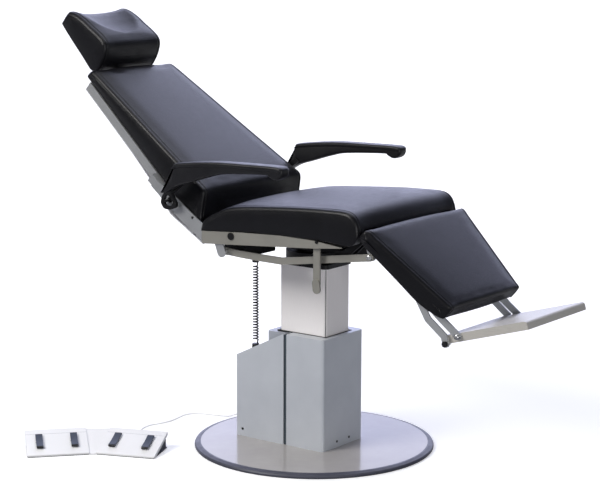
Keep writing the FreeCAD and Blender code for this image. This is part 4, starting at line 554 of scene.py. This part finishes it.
# %% The grid of a padded form
def mesh_piece(name, verts, faces, finish=None, smooth=True):
    """Puts vertex and face arrays into a new object and turns a shell that is inside out."""
    mesh = bpy.data.meshes.new(name)
    mesh.from_pydata(np.asarray(verts).tolist(), [], [list(face) for face in faces])
    mesh.polygons.foreach_set("use_smooth", [smooth] * len(mesh.polygons))
    item = link(bpy.data.objects.new(name, mesh))
    if signed_volume(mesh) < 0:
        mesh.flip_normals()
    mesh.update()
    if finish:
        dress(item, finish)
    return item


def signed_volume(mesh):
    """Sum of the tetrahedra from the origin to each triangle; negative means inside out."""
    mesh.calc_loop_triangles()
    spots = read_points(mesh.vertices)
    corners = np.empty(len(mesh.loop_triangles) * 3, int)
    mesh.loop_triangles.foreach_get("vertices", corners)
    a, b, c = spots[corners].reshape(-1, 3, 3).transpose(1, 0, 2)
    return float(np.einsum("ij,ij->i", a, np.cross(b, c)).sum() / 6)


def ring_faces(rows, columns):
    """Quads between neighbouring rings of a grid, and one lid on each end ring."""
    low = np.arange(rows - 1)[:, None] * columns
    here = np.arange(columns)[None]
    after = (here + 1) % columns
    quads = np.stack([low + here, low + after, low + columns + after, low + columns + here], axis=-1)
    last = (rows - 1) * columns
    return quads.reshape(-1, 4).tolist() + [list(range(columns))[::-1], list(range(last, last + columns))]


def outward(side):
    """Unit normals of a closed outline, all pointing out of it, and its radius of bend at each point."""
    tangent = np.roll(side, -1, axis=0) - np.roll(side, 1, axis=0)
    heading = np.unwrap(np.arctan2(tangent[:, 1], tangent[:, 0]))
    bend = np.abs(np.roll(heading, -1) - np.roll(heading, 1))
    bend = np.minimum(bend, 2 * math.pi - bend)
    normal = unit(np.column_stack([-tangent[:, 1], tangent[:, 0]]))
    if ((side - side.mean(axis=0)) * normal).sum() < 0:
        normal = -normal
    return normal, np.linalg.norm(tangent, axis=1) / np.maximum(bend, 1e-4)


def ring_piece(name, grid, finish=None):
    """A piece from a grid of rings, with a lid on each end."""
    return mesh_piece(name, grid.reshape(-1, 3), ring_faces(*grid.shape[:2]), finish)


PANEL_SHARES = (.10, .3, .5, .68, .82, .92)
SEAM_STEPS = np.array([.6, 1.2, 1.8, 2.4, 3, 3.6, 4.2, 4.8, 5.4, 6, 6.8, 8, 10]) * MM


def eased(share):
    """A smooth step: 0 below 0, 1 above 1, and level at both ends."""
    share = np.clip(share, 0, 1)
    return share * share * (3 - 2 * share)


def inset_steps(edge_round, widest):
    """Distances in from the side panel: close together over the edge's round and the seam."""
    arc = edge_round * (1 - np.cos(np.linspace(0, math.pi / 2, 9)))
    rest = np.linspace(edge_round + SEAM_STEPS[-1], widest, 13)[1:]
    return np.concatenate([arc, edge_round + SEAM_STEPS, rest])


SLICES, SLICE_REACH, THINNEST = 120, .006, .004


def padded_grid(side, half, edge_round, crown, tuck=0, belly=.002, seams=(), dish=None):
    """Rings across a padded form, from the middle of one side panel to the middle of the other.

    A ring is the side view, drawn in by the edge's quarter circle near the sides, swollen by a crown
    that is highest in the middle, and pressed in at the seams. Side panels shrink the side view
    towards its own middle line and bulge a little. Returns points (ring, column, 3) as along, across, out.
    """
    along, out = side[:, 0], side[:, 1]
    normal, _ = outward(side)
    span = np.linspace(along.min(), along.max(), SLICES)
    near = [out[np.abs(along - spot) < SLICE_REACH] for spot in span]
    upper, lower = (np.array([pick(values) for values in near]) for pick in (np.max, np.min))
    middle = (upper + lower) / 2
    margin = (upper - lower).max() * .45
    core = np.clip(along, along.min() + margin, along.max() - margin)
    core = np.column_stack([core, np.interp(core, span, middle)])
    floor_line, roof_line = (np.interp(along, span, line) for line in (lower, upper))
    height = np.clip((out - floor_line) / np.maximum(roof_line - floor_line, THINNEST), 0, 1)
    top = eased(normal[:, 1] * 2 + .6)
    width = half(along)
    radius = edge_round * (.35 + .65 * top)
    steps = inset_steps(edge_round, half(np.array([along.mean()]))[0])
    free = edge_round + SEAM_STEPS[-1]
    rings = []
    for share in PANEL_SHARES:
        edge = side - normal * radius[:, None]
        spot = core + share * (edge - core)
        level = height + (.5 - height) * (1 - share)
        across = width - tuck * (1 - level) ** 1.5 + belly * (1 - share ** 2)
        rings.append((spot, across))
    for step in steps:
        reach = np.clip(1 - step / radius, 0, 1)
        drawn = radius * (1 - np.sqrt(1 - reach ** 2))
        share = max(0, (step - free) / (steps[-1] - free))
        inset = min(step, free) + share * (width - free)
        fall = (width - inset) / width
        swell = crown * (1 - fall ** 2) * top
        press = sum(depth * np.exp(-((step - edge_round - where) / wide) ** 2)
                    for where, wide, depth in seams)
        press = press * np.clip(normal[:, 1] * 3 + 1.6, 0, 1)
        spot = side - normal * (drawn - swell + press)[:, None]
        across = width - inset - tuck * (1 - height) ** 1.5 * np.clip(1 - step / .03, 0, 1)
        rings.append((spot, across))
    rings += [(spot, -across) for spot, across in rings[-2::-1]]
    grid = np.array([np.column_stack([spot[:, 0], across, spot[:, 1]]) for spot, across in rings])
    if dish is not None:
        grid[:, :, 2] -= dish(grid[:, :, 0], grid[:, :, 1]) * top
    return grid


# %% Foam swell by cloth simulation
HELD_FACING = .75
FOAM_STIFFNESS, FOAM_QUALITY = 40, 6
NEIGHBOURS, NEIGHBOUR_BLUR = 10, .004


def foam_swell(item, cap, down, voxel=.009, frames=16, pressure=3.0):
    """Puffs a remeshed copy with Cloth pressure and returns how far each of item's points moves."""
    fine = read_points(item.data.vertices)
    proxy = link(bpy.data.objects.new("proxy", item.data.copy()))
    proxy.data.materials.clear()
    remesh = proxy.modifiers.new("voxels", "REMESH")
    remesh.mode = "VOXEL"
    remesh.voxel_size = voxel
    mesh = shaped_mesh(proxy)
    proxy.modifiers.clear()
    proxy.data = mesh
    start = read_points(mesh.vertices)
    facing = read_points(mesh.vertices, "normal")
    held = proxy.vertex_groups.new(name="held")
    held.add(np.flatnonzero(facing @ down > HELD_FACING).tolist(), 1.0, "REPLACE")
    cloth = proxy.modifiers.new("foam", "CLOTH")
    foam = cloth.settings
    foam.vertex_group_mass = "held"
    foam.use_pressure = True
    foam.uniform_pressure_force = pressure
    foam.effector_weights.gravity = 0
    foam.tension_stiffness = foam.compression_stiffness = FOAM_STIFFNESS
    foam.quality = FOAM_QUALITY
    cloth.point_cache.frame_start = 1
    cloth.point_cache.frame_end = frames
    for moment in range(1, frames + 1):
        scene.frame_set(moment)
    puffed = proxy.evaluated_get(bpy.context.evaluated_depsgraph_get()).to_mesh()
    move = read_points(puffed.vertices) - start
    scene.frame_set(1)
    bpy.data.objects.remove(proxy)
    size = np.linalg.norm(move, axis=1)
    move *= (np.minimum(size, cap) / np.maximum(size, 1e-9))[:, None]
    return carry_over(start, move, fine)


def carry_over(start, move, fine):
    """Each fine point takes the mean move of its nearest coarse points, weighted by closeness."""
    tree = KDTree(len(start))
    for number, spot in enumerate(start):
        tree.insert(spot, number)
    tree.balance()
    found = [tree.find_n(spot, NEIGHBOURS) for spot in fine]
    number = np.array([[hit[1] for hit in hits] for hits in found])
    weight = 1 / (np.array([[hit[2] for hit in hits] for hits in found]) + NEIGHBOUR_BLUR)
    weight /= weight.sum(axis=1)[:, None]
    return (move[number] * weight[..., None]).sum(axis=1)


# %% Cut-outs and stitches
def baked(item):
    """Swaps a piece's mesh for the mesh that its modifiers make, and drops them."""
    mesh = shaped_mesh(item)
    item.modifiers.clear()
    item.data = mesh
    return item


def block_grid(frame_of, a0, a1, y0, y1, v0, v1):
    """The eight corners and six faces of a block in a sloping part's own axes."""
    along, across, out = (axis.ravel() for axis in np.meshgrid((a0, a1), (y0, y1), (v0, v1), indexing="ij"))
    faces = [(0, 1, 3, 2), (4, 6, 7, 5), (0, 4, 5, 1), (2, 3, 7, 6), (0, 2, 6, 4), (1, 5, 7, 3)]
    return frame_of(along * MM, across * MM, out * MM), faces


def bar_grid(frame_of, along, out, radius, y0, y1, sides=24):
    """A round bar across the chair: two rings and two lids."""
    turn = np.arange(sides) / sides * 2 * math.pi
    ring = np.column_stack([along + radius * np.cos(turn), out + radius * np.sin(turn)]) * MM
    spots = [frame_of(ring[:, 0], np.full(sides, y * MM), ring[:, 1]) for y in (y0, y1)]
    return np.vstack(spots), ring_faces(2, sides)


def cut_out(item, solids):
    """Takes blocks and bars out of a piece with one exact Boolean each."""
    for number, (verts, faces) in enumerate(solids):
        tool = mesh_piece(f"tool_{number}", verts, faces)
        cut = item.modifiers.new("cut", "BOOLEAN")
        cut.object = tool
        cut.solver = "EXACT"
        baked(item)
        bpy.data.objects.remove(tool)
    item.data.polygons.foreach_set("use_smooth", [True] * len(item.data.polygons))
    item.data.set_sharp_from_angle(angle=math.radians(50))
    return item


GRAIN_SHAPE = np.array([(-.5, .35), (-.3, 1), (.3, 1), (.5, .35)])
GRAIN_SIDES = 6
GRAIN_POINTS = len(GRAIN_SHAPE) * GRAIN_SIDES


def stitch_row(line, facing, gap=.0055, long=.0038, thick=.0004):
    """Small six-sided grains of thread laid end to end along a line on the surface."""
    along = distances(line)
    places = np.arange(gap, along[-1] - gap, gap)
    spot = points_at(line, along, places)
    ahead = unit(points_at(line, along, places + MM) - spot)
    beside = unit(np.cross(ahead, points_at(facing, along, places)))
    up = np.cross(beside, ahead)
    turn = np.arange(GRAIN_SIDES) / GRAIN_SIDES * 2 * math.pi
    verts = (spot[:, None, None] + ahead[:, None, None] * (GRAIN_SHAPE[:, 0] * long)[None, :, None, None]
             + (beside[:, None, None] * np.cos(turn)[None, None, :, None]
                + up[:, None, None] * np.sin(turn)[None, None, :, None])
             * (GRAIN_SHAPE[:, 1] * thick)[None, :, None, None])
    one = ring_faces(len(GRAIN_SHAPE), GRAIN_SIDES)
    faces = [[corner + number * GRAIN_POINTS for corner in face]
             for number in range(len(spot)) for face in one]
    return verts.reshape(-1, 3), faces


def grid_normals(grid):
    """Outward directions of a ring grid, from the cross product of its two steps."""
    round_step = np.roll(grid, -1, axis=1) - np.roll(grid, 1, axis=1)
    cross_step = np.gradient(grid, axis=0)
    facing = np.cross(round_step, cross_step)
    facing /= np.maximum(np.linalg.norm(facing, axis=2), 1e-9)[..., None]
    centre = grid.reshape(-1, 3).mean(axis=0)
    if ((grid - centre) * facing).sum() < 0:
        facing = -facing
    return facing


def joined(parts):
    """One vertex array and one face list from several pieces' arrays."""
    verts, faces, base = [], [], 0
    for spots, quads in parts:
        verts.append(spots)
        faces += [[corner + base for corner in face] for face in quads]
        base += len(spots)
    return np.vstack(verts), faces


# %% [markdown]
# ## Leatherette
# The photograph shows near-black sides with a fine grain and a cool sheen where the top faces the
# light. The grain is a Voronoi pattern of cells about a millimetre wide with creases between them,
# and a soft cloud of use changes the gloss. Thread is the same black, a little duller.

# %% Leatherette finish
def leatherette():
    skin = start_finish("leatherette", (.005, .005, .006), .36, Coat_Weight=.08, Coat_Roughness=.30,
                        Specular_IOR_Level=.26)
    place = place_pattern(skin)
    spread(skin, noise(skin, place, 12), "Base Color", (.003, .003, .004), (.005, .005, .007))
    spread(skin, noise(skin, place, 60), "Roughness", .33, .38)
    cells = node(skin, "ShaderNodeTexVoronoi", {"Scale": 620, "Vector": place}, feature="DISTANCE_TO_EDGE")
    crease = ranged(skin, cells.outputs["Distance"], 0, .25, 0, 1)
    grain = bump(skin, crease, .00016, .55)
    bump(skin, noise(skin, place, 2400, 2), .00006, .5, grain)
    return skin


upholstery = leatherette()
thread = moulded("thread", (.02, .02, .023), (.012, .012, .014), .6, 4000)
TWIN_SEAM = ((1.8 * MM, .9 * MM, .0011), (5.4 * MM, .9 * MM, .0011))


# %% Make a cushion
SWELL_REACH = .055
STITCHED_FACING = -.35


def upholster(name, body, replaced, frame_of, side, half, edge_round=.012, swell=.004, cuts=(), **form):
    """Grid, foam swell, stitches and cut-outs; then pad and stitching ride the body and the frame's cushion
    is hidden.
    """
    grid = padded_grid(side, half, edge_round, seams=TWIN_SEAM, **form)
    chair_grid = frame_of(grid[..., 0], grid[..., 1], grid[..., 2])
    item = ring_piece(name, chair_grid)
    across = np.abs(grid[..., 1])
    share = eased((across.max(axis=0) - across) / SWELL_REACH)[..., None]
    chair_grid = chair_grid + foam_swell(item, swell, -up_of(frame_of)).reshape(chair_grid.shape) * share
    item.data.vertices.foreach_set("co", chair_grid.ravel())
    facing = grid_normals(chair_grid)
    steps = inset_steps(edge_round, half(np.array([side[:, 0].mean()]))[0])
    rings = len(chair_grid)
    shown = np.flatnonzero(facing[rings // 2] @ up_of(frame_of) > STITCHED_FACING)
    start = np.flatnonzero(np.diff(shown) > 1)
    shown = np.roll(shown, -(start[0] + 1)) if len(start) else shown
    rows = []
    for where, _, _ in TWIN_SEAM:
        ring = len(PANEL_SHARES) + int(np.abs(steps - edge_round - where).argmin())
        for number in (ring, rings - 1 - ring):
            rows.append(stitch_row(chair_grid[number, shown], facing[number, shown]))
    seam = mesh_piece(name + "_stitching", *joined(rows), thread)
    item.data.update()
    dress(item, upholstery)
    cut_out(item, cuts)
    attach(item, body)
    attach(seam, body)
    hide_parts(replaced)
    print(name, len(item.data.polygons), "faces, stitches", len(seam.data.vertices) // GRAIN_POINTS)
    return item


def up_of(frame_of):
    """Which way the top of a sloping part faces."""
    return frame_of(np.zeros(1), np.zeros(1), np.ones(1))[0] - frame_of(*np.zeros((3, 1)))[0]


def tapered(start, length, first, last):
    """Half width along a part that narrows from one end to the other, in metres."""
    return lambda along: (first + (last - first) * (along / MM - start) / length) * MM


# %% Seat cushion
SEAT_SHARES = [(0, 0, .14), (.011, 0, .27), (.039, .005, .385), (.094, .02, .54), (.2, .07, .75),
               (.397, .135, .87), (.645, .155, .965), (.835, .135, 1), (.93, .095, .985),
               (.972, .155, .87), (.993, .3, .68), (1, .42, .54)]
seat_cuts = [block_grid(UPRIGHT, -230, -152, side * 239, side * 245, 630, 760) for side in (-1, 1)]
seat_cuts += [block_grid(UPRIGHT, 253, 330, side * 156, side * 215, 630, 701) for side in (-1, 1)]
seat_cuts += [bar_grid(UPRIGHT, -170, 646, 9.5, -246, 246), bar_grid(UPRIGHT, 325, 683, 8, -215, 215)]
upholster("seat_pad", "seat", "seat_cushion", UPRIGHT,
          smooth_loop(side_view(SEAT_SHARES, -221, 543, 645.3, 103.2), 220),
          tapered(0, 1, 250, 250), crown=.007, tuck=.0015, cuts=seat_cuts)

# %% Back cushion
BACK_SHARES = [(0, 0, .05), (.01, 0, .25), (.027, 0, .4), (.05, 0, .66), (.072, 0, .9), (.095, 0, 1.01),
               (.15, 0, .97), (.3, 0, .86), (.39, 0, .79), (.51, 0, .7), (.685, 0, .575), (.855, 0, .45),
               (.95, 0, .375), (.985, 0, .32), (1, .02, .2)]
upholster("back_pad", "back", "back_cushion", BACK,
          smooth_loop(side_view(BACK_SHARES, 58, 621, -42.7, 93), 220),
          tapered(58, 621, 238, 182), crown=.007, tuck=.003, edge_round=.010)

# %% Headrest cushion
HEAD_SHARES = [(0, .16, .36), (.02, .09, .6), (.07, .03, .85), (.13, 0, .99), (.2, .02, 1.045),
               (.29, .05, 1.05), (.4, .085, 1.03), (.53, .12, .995), (.69, .165, .965), (.86, .22, .89),
               (.96, .26, .8), (1, .32, .7)]


def head_hollow(along, across):
    """A scoop for the head: half an ellipse, open at the top, with a clear rim."""
    reach = 1 - ((along - .890) / .140) ** 2 - (across / .106) ** 2
    return .016 * np.clip(reach, 0, 1) ** .8


upholster("head_pad", "headrest", "headrest_cushion", BACK,
          smooth_loop(side_view(HEAD_SHARES, 692, 200, -54, 102), 200),
          tapered(0, 1, 130, 130), crown=.002, tuck=.004, swell=.002, dish=head_hollow)

# %% Legrest cushion
LEG_SHARES = [(0, .5, .74), (.01, .42, .92), (.042, .35, 1), (.11, .25, 1), (.26, .2, 1), (.5, .1, 1),
              (.745, 0, 1), (.92, .12, 1), (.985, .24, 1), (1, .34, .86)]
leg_cuts = [block_grid(LEG, -40, 340, -174, 174, -90, -8.7)]
leg_cuts += [block_grid(LEG, -18, 26, side * 156, side * 215, -50, 11) for side in (-1, 1)]
leg_cuts += [block_grid(LEG, 0, 48, side * 206, side * 213, -50, 4) for side in (-1, 1)]
leg_cuts += [block_grid(LEG, -5, 345, side * 162, side * 169, -14, -2.5) for side in (-1, 1)]
leg_cuts += [bar_grid(LEG, 0, 0, 8, -215, 215)]
upholster("leg_pad", "legrest", "legrest_cushion", LEG,
          smooth_loop(side_view(LEG_SHARES, -2, 306, -27, 58.5), 220),
          tapered(-2, 306, 249, 182), crown=.006, tuck=.004, edge_round=.010, swell=.003,
          cuts=leg_cuts)

# %% [markdown]
# ## Armrests
# Each armrest is one moulding in satin black: a deep rear end that thins to a flat pad, with a soft
# round on every edge and a rolled nose. A wider lip runs along its top. Both come from a ring grid
# like the cushions', without seams and with the rounds below as well as above.

# %% Rounded mouldings
def fitted(item, body, soft=0):
    """Sets a piece on its body, and rounds its sharp edges by so many millimetres."""
    if soft:
        edge = item.modifiers.new("soft edge", "BEVEL")
        edge.width, edge.segments, edge.limit_method, edge.harden_normals = soft * MM, 3, "ANGLE", True
    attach(item, body)
    return item


FLAT_RINGS = 5


def rounded_form(side, half, edge_round, crown=.001, rings=9):
    """Rings across a hard moulding: a quarter circle at each side and a slightly crowned middle.

    Where the outline turns sharply the quarter circle gets smaller, so no ring crosses itself.
    """
    normal, bend = outward(side)
    radius = np.minimum(edge_round, .8 * bend)
    for _ in range(6):
        radius = np.minimum(radius, (np.roll(radius, 1) + radius + np.roll(radius, -1)) / 3)
    turn = np.linspace(0, math.pi / 2, rings)
    drawn = np.concatenate([1 - np.sin(turn), np.zeros(FLAT_RINGS)])
    inset = np.concatenate([1 - np.cos(turn), np.zeros(FLAT_RINGS)])
    flat = np.concatenate([np.zeros(rings), np.linspace(0, 1, FLAT_RINGS + 2)[1:-1]])
    across = half - inset[:, None] * radius - flat[:, None] * (half - radius)
    across[-FLAT_RINGS:] = half - radius - flat[-FLAT_RINGS:, None] * (half - radius)
    swell = crown * (1 - (across / half) ** 2) - drawn[:, None] * radius
    across = np.concatenate([across, np.zeros((1, len(side))), -across[::-1]])
    offset = np.concatenate([swell, np.full((1, len(side)), crown), swell[::-1]])
    spots = side[None] + normal[None] * offset[..., None]
    return np.stack([spots[..., 0], across, spots[..., 1]], axis=-1)


ARM_CORNERS = [(-322, 754.1), (-304.1, 778.9), (-288.8, 804), (-274.7, 831.3), (-258.1, 840.5),
               (-134.6, 853.7), (9, 857.9), (87, 859), (104, 856.4), (110.4, 848.4), (107, 833.6),
               (93.3, 824), (78.4, 823.5), (63.5, 830.4), (48.6, 834.1), (-87.7, 824.2), (-153.7, 809.6),
               (-220.6, 789), (-268.3, 774.2), (-309.2, 753)]
LIP_CORNERS = [(-275, 824), (-272.6, 831.5), (-257, 840), (-134.6, 853.7), (9, 857.9), (87, 858.8),
               (102.5, 856), (107, 849.5), (101, 844), (87, 845.2), (9, 845), (-134.6, 841), (-250, 829)]
ARM_MIDDLE = .2865


def arm_moulding(name, corners, count, side, side_name, *form):
    """A rounded moulding over the middle line of one armrest."""
    spots = rounded_form(smooth_loop(corners, count), *form)
    spots = UPRIGHT(spots[..., 0], spots[..., 1] + side * ARM_MIDDLE, spots[..., 2])
    return fitted(ring_piece(name, spots, arm_skin), f"arm_{side_name}")


for side_name, side in (("far", 1), ("near", -1)):
    rest = arm_moulding(f"armrest_moulding_{side_name}", ARM_CORNERS, 300, side, side_name,
                        .0190, .0075, .0008)
    arm_moulding(f"armrest_lip_{side_name}", LIP_CORNERS, 240, side, side_name, .0226, .0055, .0014)
    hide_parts(f"armrest_{side_name}")
    print(rest.name, len(rest.data.polygons), "faces")

# %% [markdown]
# ## Foot controls
# Each foot control has a white moulded top with a short skirt. A darker, slightly narrower lower
# half carries it. The rocker pads are ribbed rubber with a dark heel; a black toe piece paints the shade on
# each pad's front end.

# %% Prisms with a soft edge
def prism(name, outline, y0, y1, frame_of, finish, body, soft=.8):
    """A flat piece: its outline as two lids, joined by one quad for each edge, with bevelled edges."""
    spots = np.asarray(outline, float) * MM
    sides = [frame_of(spots[:, 0], np.full(len(spots), y * MM), spots[:, 1]) for y in (y0, y1)]
    item = mesh_piece(name, np.vstack(sides), ring_faces(2, len(spots)), finish)
    return fitted(item, body, soft)


def on_floor(x, y, angle):
    """Turns a foot control's own (depth, across, up) about the upright and sets it on the floor."""
    turn = math.radians(angle)

    def to_chair(depth, across, out):
        return np.stack([x * MM + depth * math.cos(turn) - across * math.sin(turn),
                         y * MM + depth * math.sin(turn) + across * math.cos(turn), out], axis=-1)
    return to_chair


def rocking(frame_of):
    """A pad's own (along, across, out) on the slope of its foot control."""
    slope = leaning((-.002, .0273), -19.3)

    def to_chair(along, across, out):
        spot = slope(along, across, out)
        return frame_of(spot[..., 0], spot[..., 1], spot[..., 2])
    return to_chair


UNIT_TOP = [(-60, 1.8), (-60, 7), (60, 49), (60, 38), (-38.9, 3.4), (-40, 1.8)]
UNIT_LOW = [(-56, .4), (-56, 4), (-38, 4.2), (57, 37.4), (57, .4)]
STRIP_LINE = [(37.2, 40), (37.2, 41.2), (38.4, 41.6), (38.4, 40)]
# The black toe piece is painted shade on each pad's front end; the same black serves knobs, washers and
# screws.
PAD_PARTS = (("heel", control_dark, [(27, 2.5), (27, 8.6), (31, 8.3), (33, 7.4), (33, 3)]),
             ("pad", pedal_rubber, [(-28, 2.5), (-28, 8.8), (-20, 8.1), (-10, 7.4), (0, 7.1), (10, 7.3),
                                    (19, 7.8), (27, 8.6), (27, 2.5), (8, .6), (-8, .6)]),
             ("toe", black_trim_and_painted_shade, [(-33, 2.8), (-33, 7.6), (-31.5, 8.5), (-28, 8.8), (-28, 2.5)]))
for side, place in (("left", (-548.2, -510.4, 138.1)), ("right", (-372.3, -383, 111.9))):
    unit = on_floor(*place)
    top = prism(f"foot_top_{side}", UNIT_TOP, -89, 89, unit, control_white, "base", 1.2)
    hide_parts(f"foot_cover_{side}")
    prism(f"foot_lower_{side}", UNIT_LOW, -84.5, 84.5, unit, control_dark, "base", .8)
    prism(f"foot_strip_line_{side}", STRIP_LINE, -88, 88, unit, strip_grey, "base", .2)
    for number, middle in ((1, -50), (2, 50)):
        for part, finish, outline in PAD_PARTS:
            pad = prism(f"{part}_{side}_{number}", outline, middle - 10, middle + 10, rocking(unit), finish,
                        f"foot_pedal_{side}_{number}", .9)
            if part == "pad":
                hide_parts(f"foot_pedal_{side}_{number}")

# %% [markdown]
# ## Small fittings
# Turned heads and washers sit on the pivots, a wiper closes the gap round the column, a looped
# bracket hangs each armrest on its pin, and the housing has a low shoulder behind the column, in a darker
# paint that stands in for its shade.

# %% Turned pieces and loops
def turned(name, rings, spot, way, finish, body, slot="screw", sides=36):
    """A round piece across the chair: circles of given radius, stepped outwards from its foot."""
    turn = np.arange(sides) / sides * 2 * math.pi
    out, radius = np.asarray(rings, float).T * MM
    grid = np.stack([spot[0] * MM + radius[:, None] * np.cos(turn),
                     np.broadcast_to((spot[1] * MM + way * out)[:, None], (len(out), sides)),
                     spot[2] * MM + radius[:, None] * np.sin(turn)], axis=-1)
    item = ring_piece(name, grid, finish)
    item.data.set_sharp_from_angle(angle=math.radians(40))
    return fitted(item, body)


def loop_piece(name, outer, inner, y0, y1, frame_of, finish, body, soft=.6):
    """A flat ring: outer and inner outline at both faces, joined into one closed band."""
    loops = [(outer, y0), (outer, y1), (inner, y1), (inner, y0)]
    spots = np.vstack([frame_of(line[:, 0], np.full(len(line), y * MM), line[:, 1]) for line, y in loops])
    faces = ring_faces(len(loops) + 1, len(outer))[:-2]
    item = mesh_piece(name, spots, [[corner % len(spots) for corner in face] for face in faces], finish)
    return fitted(item, body, soft)


def raised(along, across, out):
    """For outlines seen from above: the thickness goes up instead of across."""
    return np.stack([along, out, across], axis=-1)


def box_line(half_x, half_y):
    """The four corners of a rectangle seen from above, in metres."""
    return np.array([(-half_x, -half_y), (half_x, -half_y), (half_x, half_y), (-half_x, half_y)]) * MM


DOME = [(0, 7.6), (1.2, 7.6), (2.6, 6.9), (3.8, 5.2), (4.5, 2.8), (4.7, .6)]
KNOB = [(0, 6.5), (1, 8.2), (6, 8.4), (7.4, 7.6), (7.8, 5.5), (7.8, .6)]
WASHER = [(0, 5), (0, 8.2), (.6, 8.6), (4.6, 8.6), (5.2, 8.2), (5.2, 5)]
SCREW = [(0, 4.4), (.8, 4.4), (1.7, 3.4), (2.2, 1.8), (2.3, .3)]
LINK_SCREW = [(out, radius * 1.5) for out, radius in SCREW]
PIVOT = [(0, 8), (3, 8), (3.6, 4.2), (21, 4.2), (21.4, .5)]
HOOK = [(-355, 722), (-354, 711), (-343, 699), (-322, 698), (-301, 705), (-297, 716), (-303, 728),
        (-315, 747), (-330, 750), (-346, 742)]
HOOK_HOLE = [(-343, 721), (-341, 713), (-334, 708), (-323, 708), (-314, 712), (-311, 718), (-315, 726),
             (-323, 737), (-331, 739), (-339, 733)]
STRAP = [(-336, 742), (-322, 735), (-256, 786), (-268, 798)]
FITTINGS = (("arm_pin_head", DOME, (588, 169, 435), zinc, "footplate", "screw"),
            ("link_knob", KNOB, (554, 169, 411), black_trim_and_painted_shade, "footplate", "screw"),
            ("arm_washer", WASHER, (588, 156.5, 435), black_trim_and_painted_shade, "footplate", "screw"),
            ("link_screw", LINK_SCREW, (339, 221, 626.5), zinc, "linkage", "screw"),
            ("side_plate_screw", SCREW, (-254.6, 244, 678.9), black_trim_and_painted_shade, "back", "screw"),
            ("hook_knob", KNOB, (-303, 262, 712), head_coat, "arm", "black_metal"),
            ("armrest_pin", PIVOT, (-338, 244, 722), head_coat, "back", "black_metal"))
for side, word in ((-1, "near"), (1, "far")):
    arm = f"arm_{word}"
    for name, rings, (x, y, z), finish, body, slot in FITTINGS:
        turned(f"{name}_{word}", rings, (x, side * y, z), side, finish, arm if body == "arm" else body, slot)
    hook = loop_piece(f"armrest_hook_{word}", smooth_loop(HOOK, 90), smooth_loop(HOOK_HOLE, 90),
                      side * 256, side * 265, UPRIGHT, head_coat, arm, .9)
    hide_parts(f"armrest_hanger_{word}")
    prism(f"armrest_strap_{word}", STRAP, side * 259, side * 264.8, UPRIGHT, head_coat, arm, .6)
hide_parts("armrest_brackets")

# %% Round the column
SHOULDER = [(-39, -76), (-39, -62), (-86, -62), (-86, 62), (-39, 62), (-39, 76), (-109, 76), (-116, 69),
            (-116, -69), (-109, -76)]
# The thin dark strip along the column's near corner is painted shade: it stands in for the dark line that
# light leaves on the tube's rounded corner.
CORNER_SHADE_LINE = [(82, -60.3), (83.3, -60.3), (83.3, -59), (82.6, -59), (82.6, -59.6), (82, -59.6)]
loop_piece("column_wiper", box_line(87, 64), box_line(83.6, 60.6), 338, 343.4, raised, black_rubber,
           "base", .3)
prism("housing_shoulder", SHOULDER, 262, 339, raised, shaded_shoulder_paint, "base", 1.2)
prism("column_corner_shade_line", CORNER_SHADE_LINE, 215, 538, raised, black_trim_and_painted_shade, "lift", .1)
dress(frame["nodes"]["cover_seal"], seal_rubber)
dress(frame["nodes"]["cover_screws"], black_trim_and_painted_shade)
dress(frame["nodes"]["recline_gearmotor"], head_coat)
